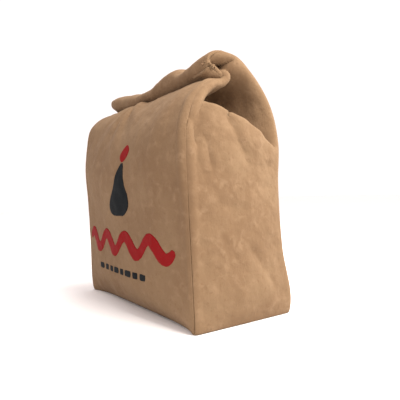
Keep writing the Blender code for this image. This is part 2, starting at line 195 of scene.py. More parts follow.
class Rail:
    """Smooth curve through a few points, walked by point number."""

    def __init__(self, points: list[tuple[float, float, float]]) -> None:
        """Keep the points and work out the direction at each.

        Args:
            points: what the curve passes through, in millimetres.
        """
        self.points = np.array(points, float)
        self.steps = np.linalg.norm(np.diff(self.points, axis=0), axis=1)
        runs = np.diff(self.points, axis=0) / self.steps[:, None]
        before, after = self.steps[:-1, None], self.steps[1:, None]
        inner = (runs[1:] * before + runs[:-1] * after) / (before + after)
        self.ways = np.vstack([runs[:1], inner, runs[-1:]])

    @property
    def last(self) -> int:
        """Number of the last point."""
        return len(self.points) - 1

    def at(self, place: np.ndarray | float) -> np.ndarray:
        """The curve's points at these places, each between 0 and the last point's number."""
        place = np.clip(np.asarray(place, float), 0, self.last)
        i = np.minimum(place.astype(int), self.last - 1)
        t = (place - i)[..., None]
        step = self.steps[i][..., None]
        a, b = self.points[i], self.points[i + 1]
        bend = (1 - t) ** 2 * t * self.ways[i] * step - t * t * (1 - t) * self.ways[i + 1] * step
        return a + (b - a) * t * t * (3 - 2 * t) + bend

    def spread(self, count: int, start: float = 0.0, end: float | None = None) -> np.ndarray:
        """Places that are evenly spaced by length.

        Args:
            count: how many.
            start: the first place.
            end: the last place, or None for the curve's end.

        Returns:
            The places.
        """
        fine = np.linspace(start, self.last if end is None else end, 800)
        points = self.at(fine)
        walked = np.r_[0, np.cumsum(np.linalg.norm(np.diff(points, axis=0), axis=1))]
        return np.interp(np.linspace(0, walked[-1], count), walked, fine)

    def length(self) -> float:
        """Length in millimetres."""
        points = self.at(np.linspace(0, self.last, 400))
        return float(np.linalg.norm(np.diff(points, axis=0), axis=1).sum())

    def height(self, z: float) -> float:
        """The first place where the curve reaches height z."""
        fine = np.linspace(0, self.last, 800)
        reached = self.at(fine)[:, 2] >= z
        return float(fine[np.argmax(reached)]) if reached.any() else float(self.last)


def outward_normals(points: np.ndarray, facing: tuple[int, int, int], rows: int | None = None) -> np.ndarray:
    """Unit normals of a grid of points.

    Args:
        points: the grid.
        facing: the direction that most of the sheet faces.
        rows: how many rows from the foot are looked at for this, or None for all.

    Returns:
        A normal for each point.
    """
    across, along = np.gradient(points, axis=0), np.gradient(points, axis=1)
    normals = np.cross(across, along)
    normals /= np.maximum(np.linalg.norm(normals, axis=-1, keepdims=True), 1e-9)
    return normals * np.sign((normals[:, :rows] @ np.array(facing, float)).mean())


def finer_at_ends(count: int, share: float = 0.55) -> np.ndarray:
    """Shares from 0 to 1 that lie closer together near both ends."""
    even = np.linspace(0, 1, count)
    return even * (1 - share) + share * (1 - np.cos(np.pi * even)) / 2


def new_object(name: str, vertices: np.ndarray, faces: Faces) -> bpy.types.Object:
    """Make a smooth-shaded mesh object from points in millimetres."""
    data = bpy.data.meshes.new(name)
    data.from_pydata((vertices.reshape(-1, 3) * MM).tolist(), [], faces)
    data.shade_smooth()
    piece = bpy.data.objects.new(name, data)
    bpy.context.scene.collection.objects.link(piece)
    return piece


def grid_faces(rows: int, columns: int, closed: bool = False, flip: bool = False) -> Faces:
    """Quads of a grid whose points are numbered row by row.

    Args:
        rows: how many rows of points.
        columns: how many points in a row.
        closed: whether each row runs on into its own first point.
        flip: whether the faces look the other way.

    Returns:
        The faces.
    """
    faces = []
    for i in range(rows - 1):
        for j in range(columns if closed else columns - 1):
            k = (j + 1) % columns
            face = (i * columns + j, (i + 1) * columns + j, (i + 1) * columns + k, i * columns + k)
            faces.append(face[::-1] if flip else face)
    return faces


def tube_faces(rings: int, sides: int, flip: bool = False) -> Faces:
    """Faces of a tube whose points are numbered ring by ring, with both its ends closed."""
    last = (rings - 1) * sides
    ends = [tuple(range(sides)), tuple(last + j for j in reversed(range(sides)))]
    return grid_faces(rings, sides, closed=True, flip=flip) + ends


class Bundle:
    """Parts that are gathered into one mesh."""

    def __init__(self) -> None:
        """Start with nothing."""
        self.vertices: list[np.ndarray] = []
        self.faces: Faces = []

    def add(self, points: np.ndarray | list, faces: Faces) -> None:
        """Add a part.

        Args:
            points: its points, in millimetres.
            faces: its faces, numbered from its own first point.
        """
        first = len(self.vertices)
        self.vertices += list(points)
        self.faces += [tuple(first + k for k in face) for face in faces]

    def build(self, name: str) -> bpy.types.Object:
        """Make the mesh object."""
        return new_object(name, np.array(self.vertices), self.faces)


def faces_of(*names: str) -> BVHTree:
    """The finished faces of some pieces, to cast rays at."""
    graph = bpy.context.evaluated_depsgraph_get()
    points, faces = [], []
    for name in names:
        piece = bpy.data.objects[name].evaluated_get(graph)
        mesh = piece.to_mesh()
        first = len(points)
        points += [piece.matrix_world @ v.co for v in mesh.vertices]
        faces += [[first + k for k in face.vertices] for face in mesh.polygons]
        piece.to_mesh_clear()
    return BVHTree.FromPolygons(points, faces)


def add_thickness(piece: bpy.types.Object, thickness: float, offset: float = -1.0) -> None:
    """Give a sheet its thickness, inwards unless offset says otherwise."""
    solid = piece.modifiers.new("thickness", "SOLIDIFY")
    solid.thickness = thickness * MM
    solid.offset = offset


def dress(piece: bpy.types.Object, material: bpy.types.Material) -> None:
    """Give a piece its material."""
    piece.data.materials.clear()
    piece.data.materials.append(material)


def bend_with_roll(piece: bpy.types.Object) -> None:
    """Bake a panel's placement into its points; it is not bent into the roll here.

    Args:
        piece: the panel, in its final shape.
    """
    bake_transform(piece)


def report(piece: bpy.types.Object) -> None:
    """Log a finished piece."""
    LOG.info("%s: %d points", piece.name, len(piece.data.vertices))


# ---------------------------------------------------------------- finishes


class Nodes:
    """The nodes of a new material, with short ways to add the usual ones."""

    def __init__(self, name: str) -> None:
        """Start a material.

        Args:
            name: the material's name.
        """
        self.material = bpy.data.materials.new(name)
        self.material.use_nodes = True
        self.tree = self.material.node_tree
        self.shader = self.tree.nodes["Principled BSDF"]
        self.place = self.add("TexCoord").outputs["Object"]

    def add(self, kind: str, links: dict | None = None, **settings: object) -> bpy.types.Node:
        """Add a shader node.

        Args:
            kind: the node's type, without "ShaderNode".
            links: sockets that feed its inputs, by input name or number.
            settings: values for its inputs or its own properties.

        Returns:
            The node.
        """
        made = self.tree.nodes.new(f"ShaderNode{kind}")
        for key, value in settings.items():
            if hasattr(made, key):
                setattr(made, key, value)
            else:
                next(s for s in made.inputs if s.name == key and s.enabled).default_value = value
        for key, source in (links or {}).items():
            self.tree.links.new(source, made.inputs[key])
        return made

    def turned(self, scale: tuple[float, float, float], angles: tuple[float, float, float]) -> Socket:
        """Places that are turned and stretched, for a pattern with a direction."""
        return self.add("Mapping", {"Vector": self.place}, Scale=scale, Rotation=angles).outputs[0]

    def cloud(self, size: float, detail: float, rough: float, place: Socket | None = None) -> Socket:
        """Cloudy variation whose largest features are size millimetres."""
        settings = {"Scale": 1 / (size * MM), "Detail": detail, "Roughness": rough, "Distortion": 0.3}
        return self.add("TexNoise", {"Vector": place or self.place}, **settings).outputs[0]

    def wave(self, place: Socket, direction: str, spacing: float, uneven: float, detail: float) -> Socket:
        """Ridges that lie spacing millimetres apart."""
        scale = math.pi / (10 * spacing * MM)
        settings = {"bands_direction": direction, "wave_profile": "SIN", "Scale": scale}
        made = self.add("TexWave", {"Vector": place}, Distortion=uneven, Detail=detail, **settings)
        return made.outputs["Fac"]

    def ramp(self, source: Socket, low: float, high: float) -> Socket:
        """Stretch the part of a value between low and high to 0..1."""
        made = self.add("MapRange", {0: source}, clamp=True, interpolation_type="SMOOTHSTEP")
        made.inputs[1].default_value, made.inputs[2].default_value = low, high
        return made.outputs[0]

    def mix(self, amount: Socket, first: Socket | str, second: Socket | str) -> Socket:
        """Mix two colours, each a socket or an sRGB hex value.

        Args:
            amount: share of the second colour.
            first: the colour under.
            second: the colour over.

        Returns:
            The mixed colour.
        """
        made = self.add("Mix", {0: amount}, data_type="RGBA", blend_type="MIX")
        for index, colour in ((6, first), (7, second)):
            if isinstance(colour, str):
                made.inputs[index].default_value = hex_colour(colour)
            else:
                self.tree.links.new(colour, made.inputs[index])
        return made.outputs[2]

    def bump(self, height: Socket, strength: float, depth: float, under: Socket | None = None) -> Socket:
        """Relief of a pattern, depth millimetres high, laid over another relief if there is one."""
        links = {"Height": height, "Normal": under} if under else {"Height": height}
        return self.add("Bump", links, Strength=strength, Distance=depth * MM).outputs[0]

    def finish(
        self, colour: Socket, relief: Socket | None, roughness: float, **settings: object
    ) -> bpy.types.Material:
        """Feed the main shader.

        Args:
            colour: the surface's colour.
            relief: its bumps, if it has any.
            roughness: how matt it is.
            settings: more of the shader's inputs, with underscores for spaces.

        Returns:
            The material.
        """
        self.tree.links.new(colour, self.shader.inputs["Base Color"])
        if relief:
            self.tree.links.new(relief, self.shader.inputs["Normal"])
        for key, value in {"Roughness": roughness, **settings}.items():
            self.shader.inputs[key.replace("_", " ")].default_value = value
        return self.material


@dataclass(frozen=True)
class BrushedCotton:
    """Thick cotton with a raised nap, dyed kraft brown.

    Brushing lifts a short pile: the surface is quite matt, a little lighter where the pile stands at
    a grazing angle, and mottled where it has been rubbed one way or the other.
    """

    name: str = "brushed_cotton_kraft"
    colour: str = "745d45"
    rubbed: str = "7b634b"
    shaded: str = "6c543d"
    glow: str = "e8cfae"  # of the pile's tips
    patch: float = 42.0  # mm, areas where the pile lies another way
    clump: float = 3.2  # mm, tufts of pile
    fibre: float = 0.9  # mm, single fibres are 0.02 mm; drawn coarse enough to show
    crumple: float = 7.0  # mm, soft creases from handling
    roughness: float = 0.93

    def material(self) -> bpy.types.Material:
        """Build the node material."""
        nodes = Nodes(self.name)
        patch = nodes.cloud(self.patch, 3.0, 0.55)
        clump = nodes.cloud(self.clump, 4.0, 0.65)
        crumple = nodes.cloud(self.crumple, 3.0, 0.6)
        combed = nodes.turned((1.0, 1.0, 0.28), (0.3, 0.5, 0.8))
        fibre = nodes.cloud(self.fibre, 3.0, 0.7, combed)
        base = nodes.mix(nodes.ramp(patch, 0.3, 0.7), self.shaded, self.colour)
        rubbed = nodes.mix(nodes.ramp(crumple, 0.45, 0.8), base, self.rubbed)
        speck = nodes.mix(nodes.ramp(clump, 0.30, 0.46), self.shaded, rubbed)
        lint = nodes.mix(nodes.ramp(fibre, 0.66, 0.78), speck, self.rubbed)
        nap = nodes.bump(fibre, 0.35, 0.35)
        tufts = nodes.bump(clump, 0.5, 0.5, nap)
        creases = nodes.bump(crumple, 0.45, 1.2, tufts)
        return nodes.finish(
            lint, creases, self.roughness, Specular_IOR_Level=0.15,
            Sheen_Weight=0.08, Sheen_Roughness=0.6, Sheen_Tint=hex_colour(self.glow),
        )


@dataclass(frozen=True)
class WovenCotton:
    """Plain-weave cotton: threads cross over and under, so light catches a fine checker of them."""

    name: str
    colour: str
    gap_colour: str
    thread: float = 0.9  # mm between threads
    slub: float = 12.0  # mm, where threads are thicker and worn
    roughness: float = 0.85

    def material(self) -> bpy.types.Material:
        """Build the node material."""
        nodes = Nodes(self.name)
        turned = nodes.turned((1.0, 1.0, 1.0), (0.0, 0.0, math.radians(45)))
        waves = [nodes.wave(turned, way, self.thread, 0.6, 1.0) for way in ("X", "Z")]
        weave = nodes.add("Math", {0: waves[0], 1: waves[1]}, operation="MULTIPLY").outputs[0]
        slub = nodes.cloud(self.slub, 4.0, 0.6)
        cloth = nodes.mix(nodes.ramp(weave, 0.05, 0.5), self.gap_colour, self.colour)
        worn = nodes.mix(nodes.ramp(slub, 0.45, 0.75), cloth, self.gap_colour)
        return nodes.finish(worn, nodes.bump(weave, 0.5, 0.3), self.roughness, Sheen_Weight=0.15)


@dataclass(frozen=True)
class PolyesterBatting:
    """Carded polyester fibre: white, lofty and full of loose strands, so it looks woolly."""

    name: str = "carded_polyester_batting"
    colour: str = "ece8df"
    shaded: str = "cfc8bb"
    strand: float = 2.0  # mm between visible strands
    lump: float = 14.0  # mm
    roughness: float = 0.95

    def material(self) -> bpy.types.Material:
        """Build the node material."""
        nodes = Nodes(self.name)
        pulled = nodes.turned((0.25, 1.0, 1.0), (0.2, 0.6, 0.4))
        strands = nodes.cloud(self.strand, 5.0, 0.7, pulled)
        lumps = nodes.cloud(self.lump, 3.0, 0.5)
        shade = nodes.mix(nodes.ramp(strands, 0.3, 0.6), self.shaded, self.colour)
        tone = nodes.mix(nodes.ramp(lumps, 0.5, 0.8), shade, self.shaded)
        return nodes.finish(tone, nodes.bump(strands, 0.8, 1.0), self.roughness, Sheen_Weight=0.4)


@dataclass(frozen=True)
class GreyBoard:
    """Pressed grey-brown board: dull and smooth, flecked with bits of recycled fibre."""

    name: str = "pressed_greyboard"
    colour: str = "a08c72"
    fleck: str = "6d5d49"
    fleck_size: float = 1.4  # mm
    roughness: float = 0.88

    def material(self) -> bpy.types.Material:
        """Build the node material."""
        nodes = Nodes(self.name)
        flecks = nodes.cloud(self.fleck_size, 3.0, 0.7)
        tone = nodes.mix(nodes.ramp(flecks, 0.62, 0.72), self.colour, self.fleck)
        return nodes.finish(tone, nodes.bump(flecks, 0.2, 0.1), self.roughness)


@dataclass(frozen=True)
class ScreenInk:
    """Screen-printed ink on a nap: flatter than the cloth, broken a little by fibres that stand through."""

    name: str
    colour: str
    worn: str
    fibre: float = 1.1  # mm
    roughness: float = 0.72

    def material(self) -> bpy.types.Material:
        """Build the node material."""
        nodes = Nodes(self.name)
        fibre = nodes.cloud(self.fibre, 4.0, 0.7)
        tone = nodes.mix(nodes.ramp(fibre, 0.56, 0.74), self.colour, self.worn)
        return nodes.finish(tone, nodes.bump(fibre, 0.4, 0.3), self.roughness, Specular_IOR_Level=0.1)


@dataclass(frozen=True)
class TwistedThread:
    """Twisted cotton thread: slanting ridges of its plies give it a rope-like glint."""

    name: str = "twisted_cotton_thread"
    colour: str = "8a6a4a"
    shaded: str = "5d452e"
    ply: float = 0.5  # mm between ridges
    roughness: float = 0.7

    def material(self) -> bpy.types.Material:
        """Build the node material."""
        nodes = Nodes(self.name)
        plies = nodes.wave(nodes.place, "DIAGONAL", self.ply, 1.0, 2.0)
        return nodes.finish(
            nodes.mix(plies, self.shaded, self.colour), nodes.bump(plies, 0.6, 0.15), self.roughness
        )


# ---------------------------------------------------------------- the bag's shape


@dataclass
class BagShape:
    """Where the panels' seams run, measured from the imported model."""

    half_width: float
    front_foot: float
    back_foot: float
    hinge_y: float
    neck: float
    cloth: float = 2.4
    front_swell: float = 8.5  # how far the filling pushes the front out
    back_swell: float = 4.5
    swell_rise: float = 30.0
    tuck_under: float = 7.0  # how far the front's lower edge turns in under the bag
    foot_lift: float = 1.4  # how far the front's lower edge stands off the floor in its middle
    crown: float = 0.8  # how much the front's shoulder stands up between its seams
    edge_round: float = 2.2  # rounding of the front towards its seams
    crest_in: float = 48.0  # from the back foot forwards to the crest
    roll_reach: float = 13.0  # from the crest forwards to the front of the roll
    roll_belly: float = 1.2  # how much further the roll reaches in its middle
    end_slim: float = 3.2  # how much less it reaches near its ends
    end_x: float = 86.0  # where the crest ends, from the middle
    shut_from: float = 76.5  # where the left end starts to close, from the middle
    shut_over: float = 11.0  # the length over which it closes
    tacked: float = 0.52  # share of the turn round the roll at which the cover is tacked to the tongue
    crest_line: tuple = (
        (-88, 18.6), (-66, 14.8), (-48, 11.8), (-34, 9.8), (-18, 8.0), (-4, 8.2),
        (5, 9.8), (14, 12.6), (28, 16.6), (37, 16.6), (51, 11.4), (63, 12.8), (75, 15.8), (86, 19.2),
    )  # height of the crest over the neck, along the width
    crease_line: tuple = (
        (-88, 7.5), (-72, 2.6), (-60, 0.2), (-39, -1.9), (-22, -1.1), (-10, 0.7),
        (0, -0.7), (39, -0.7), (56, 1.1), (69, 2.9), (86, 3.5),
    )  # height of the roll's underside over the neck
    outline: tuple = (
        (0, 0, 1), (0, 0.55, 0.93), (0, 0.97, 0.67), (0, 1.0, 0.4), (0, 0.72, 0.08),
        (0, 0.25, -0.02), (0, -0.3, 0),
    )  # section of the roll as shares of its reach and height, from the crest round and under

    @classmethod
    def from_frame(cls, joint: dict) -> "BagShape":
        """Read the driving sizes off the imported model.

        Args:
            joint: the record's roll joint.

        Returns:
            The shape.
        """
        low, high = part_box("base_panel")
        place = joint["pos_m"]
        return cls(high.x / MM, low.y / MM, high.y / MM, place[1] / MM, place[2] / MM)

    @property
    def crest_y(self) -> float:
        """Place of the crest from front to back."""
        return self.back_foot - self.crest_in

    def crest(self, x: np.ndarray | float) -> np.ndarray:
        """Height of the roll's crest at a place along the width."""
        return self.neck + table(self.crest_line, np.asarray(x))

    def crease(self, x: np.ndarray | float) -> np.ndarray:
        """Height of the roll's underside at a place along the width."""
        return self.neck + table(self.crease_line, np.asarray(x))

    def front_rail(self, side: Side) -> Rail:
        """Seam between front panel and gusset: up, over the shoulder, round the fold, into the roll."""
        # the left seam stands higher in the roll, is fuller at the shoulder and starts further in
        lift, full, slim = (0.0, 0.0, 0.0) if side is Side.RIGHT else (2.0, 2.5, 1.7)
        h, foot, neck = self.half_width - slim, self.front_foot + slim, self.neck
        points = [
            (h + 0.4, foot - 0.3, 0.2), (h + 0.8, foot - 0.5, 6), (h + 0.4, foot - 0.5, 50),
            (h, foot - 1, 100), (h - 0.5, foot - 1, neck - 53.5),
            (h - 2.5 + full / 3, foot + 2 - full / 2, neck - 33.5),
            (h - 5.5 + 1.4 * full, foot + 12 - 2.7 * full, neck - 15.5),
            (h - 8.5 + full, foot + 27 - 2 * full, neck - 4), (h - 10.3, self.hinge_y - 7, neck - 2.4),
            (h - 11.2, self.hinge_y - 3.2, neck + 0.2), (h - 11.5, self.hinge_y - 7, neck + 4.2 + lift / 2),
            (h - 12, self.hinge_y - 11, neck + 7.6 + lift), tuple(self.pinch(side)),
        ]
        return Rail([(side.value * abs(x), y, z) for x, y, z in points])

    def back_rail(self, side: Side) -> Rail:
        """Seam between back panel and gusset, from the foot to the crest of the roll."""
        h, foot, neck = self.half_width, self.back_foot, self.neck
        top = float(self.crest(side.value * self.end_x))
        points = [
            (h - 0.5, foot - 1.4, 0.2), (h + 0.6, foot - 1.2, 7), (h, foot - 7, 50), (h, foot - 9, 100),
            (h - 0.5, foot - 7, neck - 45.5), (h - 4, foot - 10.5, neck - 18.5),
            (h - 8, foot - 24.5, neck + 6), (h - 9.5, foot - 35.5, top - 3), (h - 10.5, self.crest_y, top),
        ]
        return Rail([(side.value * x, y, z) for x, y, z in points])

    def roll_section(self, x: np.ndarray, turn: np.ndarray) -> np.ndarray:
        """The outer face of the roll.

        Args:
            x: place along the width at the crest, in millimetres.
            turn: 0 at the crest, 1 where the cloth has come round under the roll.

        Returns:
            Points of the roll.
        """
        low, top = self.crease(x), self.crest(x)
        outline = Rail(list(self.outline))
        across = outline.at(turn * outline.last)
        reach = self.roll_reach + self.roll_belly - self.end_slim * rise(np.abs(x), 68, 84)
        y = self.crest_y - reach * across[..., 1]
        z = low + (top - low) * across[..., 2]
        # the left end is drawn shut towards the middle of the roll
        shut = np.sqrt(1 - np.clip((-self.shut_from - x) / self.shut_over, 0, 0.985) ** 2)
        middle_y, middle_z = self.crest_y - 0.45 * reach, low + 0.55 * (top - low)
        y = np.where(x < 0, middle_y + (y - middle_y) * shut, y)
        z = np.where(x < 0, middle_z + (z - middle_z) * shut, z)
        # towards its inner edge the cover gets narrower
        narrowing = rise(np.abs(x), 70, 86) * (3.5 * rise(turn, 0.15, 1.0) + 16 * rise(turn, 0.5, 1.0))
        along = np.where(x < 0, x - 7.5 * rise(-x, 62, 86) + 0.2 * narrowing, x - narrowing)
        return np.stack([along, y, z], -1)

    def pinch(self, side: Side) -> np.ndarray:
        """Where the cover's edge is tacked down on the tongue."""
        return self.roll_section(np.array(side.value * self.end_x), np.array(self.tacked))

    def drawn_in(self, x: np.ndarray) -> np.ndarray:
        """How far the roll's closed end draws in the crest, by place along the width."""
        crest = np.stack([x, np.full_like(x, self.crest_y), self.crest(x)], -1)
        return self.roll_section(x, np.zeros_like(x)) - crest

    def gusset_back_rail(self, side: Side) -> Rail:
        """The gusset's back edge: the back seam, then the cover's edge as far as the pinch."""
        x = side.value * self.end_x
        up = np.array(self.back_rail(side).points)
        up[-2:] += self.drawn_in(np.array(x)) * np.array([[0.42], [1.0]])
        turns = np.array([0.14, 0.27, 0.40, self.tacked])
        return Rail([tuple(p) for p in np.vstack([up, self.roll_section(np.full(4, x), turns)])])

    def swell(self, z: np.ndarray) -> np.ndarray:
        """Share of a wall's full bulge at height z."""
        return plateau(z, 0, self.swell_rise, self.neck - 65, self.neck - 5)


def relaxed(grid: np.ndarray, passes: int) -> np.ndarray:
    """Ease a grid of points towards their neighbours, with its border kept."""
    for _ in range(passes):
        around = grid[:-2, 1:-1] + grid[2:, 1:-1] + grid[1:-1, :-2] + grid[1:-1, 2:]
        grid[1:-1, 1:-1] += 0.5 * (around / 4 - grid[1:-1, 1:-1])
    return grid


def groove(distance: np.ndarray, depth: float = 0.9, width: float = 1.3) -> np.ndarray:
    """How far a sheet turns in where it is sewn, by distance from the seam in millimetres."""
    return depth * np.exp(-((distance / width) ** 2))


def raised(
    grid: np.ndarray, normals: np.ndarray, height: np.ndarray, lift: float = 0.9, hem: float = 12.0
) -> np.ndarray:
    """Give a sheet its relief, and lift its hem so that its thickness clears the floor.

    Args:
        grid: the sheet's points.
        normals: their directions.
        height: how far each point is moved that way.
        lift: how far the lowest point is raised.
        hem: height up to which points are raised, less and less.

    Returns:
        The sheet's points.
    """
    grid = grid + normals * height[..., None]
    grid[..., 2] += lift * np.clip(1 - grid[..., 2] / hem, 0, 1)
    return grid


# ---------------------------------------------------------------- cloth panels


@dataclass
class FrontPanel:
    """Front wall and tongue, in one cloth."""

    shape: BagShape
    cloth: bpy.types.Material
    across: int = 120
    along: int = 190
    fold: float = 9.0  # number of the rail's point at the inner fold
    shoulder: tuple = (4.4, 6.2, 7.6, 9.2)  # places on the rail where the shoulder starts, is full and ends
    gathered_x: float = -12.0  # the tack from which gathers spread over the wall
    gathers: float = 2.1  # how high they stand
    crumples: tuple = ((1.1, 46, 3.1, 2), (0.55, 14, 7.7, 3))

    def points(self) -> tuple[np.ndarray, np.ndarray]:
        """Grid of the outer face, and each row's place on the rail."""
        shape = self.shape
        right, left = shape.front_rail(Side.RIGHT), shape.front_rail(Side.LEFT)
        rows = right.spread(self.along)
        share = finer_at_ends(self.across)[:, None, None]
        grid = left.at(rows)[None] * (1 - share) + right.at(rows)[None] * share
        a = 2 * share[..., 0] - 1
        z = grid[..., 2]
        on_wall = (rows <= self.fold - 1.2)[None]
        out = shape.front_swell * (1 - a * a) * shape.swell(z)
        out += shape.edge_round * (1 - np.abs(a) ** 9) * rise(z, 85, 120)
        shoulder = plateau(rows, *self.shoulder)
        normals = outward_normals(grid, (0, -1, 0))
        grid = grid + normals * (out * on_wall * (1 - shoulder))[..., None]
        grid[..., 2] += shape.crown * (1 - np.abs(a) ** 5) * shoulder
        grid[..., 1] -= out * shoulder * on_wall * 0.8
        grid = self.wrinkled(self.rolled(grid, rows), rows, a)
        z = grid[..., 2]
        grid[..., 1] += shape.tuck_under * np.clip(1 - z / 16, 0, 1) ** 2.4 * (1 - a**8)
        grid[..., 2] += shape.foot_lift * (1 - a**4) * np.clip(1 - z / 25, 0, 1)
        return grid, rows

    def rolled(self, grid: np.ndarray, rows: np.ndarray) -> np.ndarray:
        """Lower the tongue inside the roll, most at the tack, and bring it flush with the cover's ends."""
        in_roll = rise(rows, self.fold + 0.2, self.fold + 1.7)[None]
        near_end = np.abs(grid[..., 0])
        grid[..., 2] -= 3.0 * in_roll * (1 - rise(near_end, 60, 68))
        grid[..., 2] -= 4.0 * in_roll * hump(grid[..., 0], -16, 13)
        flush = plateau(near_end, 62, 70, 79.5, 86.5) * in_roll
        grid[..., 1] -= 3.2 * flush
        grid[..., 2] -= 4.0 * flush
        return grid

    def wrinkled(self, grid: np.ndarray, rows: np.ndarray, a: np.ndarray) -> np.ndarray:
        """Add seam grooves, gathers below the tacked place, and crumples."""
        shape = self.shape
        x, z = grid[..., 0], grid[..., 2]
        normals = outward_normals(grid, (0, -1, 0), 60)
        edge = shape.half_width * (1 - np.abs(a)) + 0 * rows
        inner = smooth(edge / 8) * smooth(z / 10) * (1 - rise(rows, 7.8, 8.6))
        height = -groove(edge) - groove(z, 0.6, 2.0)
        height += 1.1 * hump(edge, 3.4, 2.2) * rise(z, 70, 110) * (1 - rise(rows, 9.5, 10.5))
        dx, dz = x - self.gathered_x, shape.neck - 1 - z
        far = np.hypot(dx, dz)
        angle = np.arctan2(dx, dz + 1e-6)
        rays = np.sin(angle * 7.5 + 0.6) * smooth(far / 12) * np.exp(-far / 34)
        height += self.gathers * rays * inner
        height += crumple(grid, self.crumples) * inner
        height += 1.3 * hump(x - 0.25 * (z - 130), 62, 9) * rise(z, 105, 135) * inner
        return raised(grid, normals, height)

    def build(self) -> bpy.types.Object:
        """Make the panel and dress it."""
        grid, rows = self.points()
        piece = new_object("front_cloth", grid, grid_faces(self.across, self.along, flip=True))
        add_thickness(piece, self.shape.cloth)
        dress(piece, self.cloth)
        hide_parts("front_panel", "roll_tongue")
        bend_with_roll(piece)
        length = self.shape.front_rail(Side.RIGHT).length()
        report(piece)
        return piece


@dataclass
class BackPanel:
    """Back wall, yoke and the cover of the roll, in one cloth."""

    shape: BagShape
    cloth: bpy.types.Material
    across: int = 130
    along: int = 150
    around: int = 60
    bends: tuple = (4.7, 7.8)  # places on the rail between which it bends into the roll
    round_roll: float = 40.0  # length of the cloth from the crest round the roll
    dent: float = 5.0  # how deep the centre tack draws it in
    crumples: tuple = ((1.0, 44, 11.3, 2), (0.5, 13, 5.9, 3))

    def points(self) -> tuple[np.ndarray, np.ndarray]:
        """Grid of the outer face, and each row's share of the roll's turning."""
        shape = self.shape
        right, left = shape.back_rail(Side.RIGHT), shape.back_rail(Side.LEFT)
        rows = right.spread(self.along)
        share = finer_at_ends(self.across)[:, None, None]
        a = 2 * share[..., 0] - 1
        wall = left.at(rows)[None] * (1 - share) + right.at(rows)[None] * share
        wall[..., 1] += shape.back_swell * (1 - a * a) * shape.swell(wall[..., 2])
        crest_x = shape.end_x * a
        level = left.points[-1][2] * (1 - share[..., 0]) + right.points[-1][2] * share[..., 0]
        wall[..., 2] += (shape.crest(crest_x) - level) * rise(rows, 5, right.last)[None]
        wall += shape.drawn_in(crest_x) * rise(rows, 6.2, right.last)[None, :, None]
        turns = np.linspace(0, 1, self.around)[1:]
        roll = shape.roll_section(*np.broadcast_arrays(crest_x, turns[None]))
        grid = np.concatenate([wall, roll], 1)
        shares = np.r_[rise(rows, *self.bends), np.ones(self.around - 1)]
        return self.wrinkled(grid, a), shares

    def wrinkled(self, grid: np.ndarray, a: np.ndarray) -> np.ndarray:
        """Add seam grooves, the dent under the tack and crumples."""
        shape = self.shape
        x, y, z = grid[..., 0], grid[..., 1], grid[..., 2]
        front = shape.crest_y - shape.roll_reach
        valley = hump(x, -12 - 1.6 * (y - front), 7.0)
        dent = valley * rise(z, shape.neck + 4, shape.neck + 14) * (1 - rise(y, front + 18, front + 34))
        grid[..., 2] -= self.dent * dent
        normals = outward_normals(grid, (0, 1, 0), 60)
        edge = shape.half_width * (1 - np.abs(a)) + 0 * z
        inner = smooth(edge / 8) * smooth(z / 10)
        height = -groove(edge) - groove(z, 0.6, 2.0)
        height += crumple(grid, self.crumples) * inner
        return raised(grid, normals, height)

    def build(self) -> bpy.types.Object:
        """Make the panel and dress it."""
        grid, shares = self.points()
        piece = new_object("back_cloth", grid, grid_faces(*grid.shape[:2]))
        add_thickness(piece, self.shape.cloth)
        dress(piece, self.cloth)
        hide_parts("back_panel", "back_yoke", "roll_cover")
        bend_with_roll(piece)
        length = self.shape.back_rail(Side.RIGHT).length() + self.round_roll
        report(piece)
        return piece


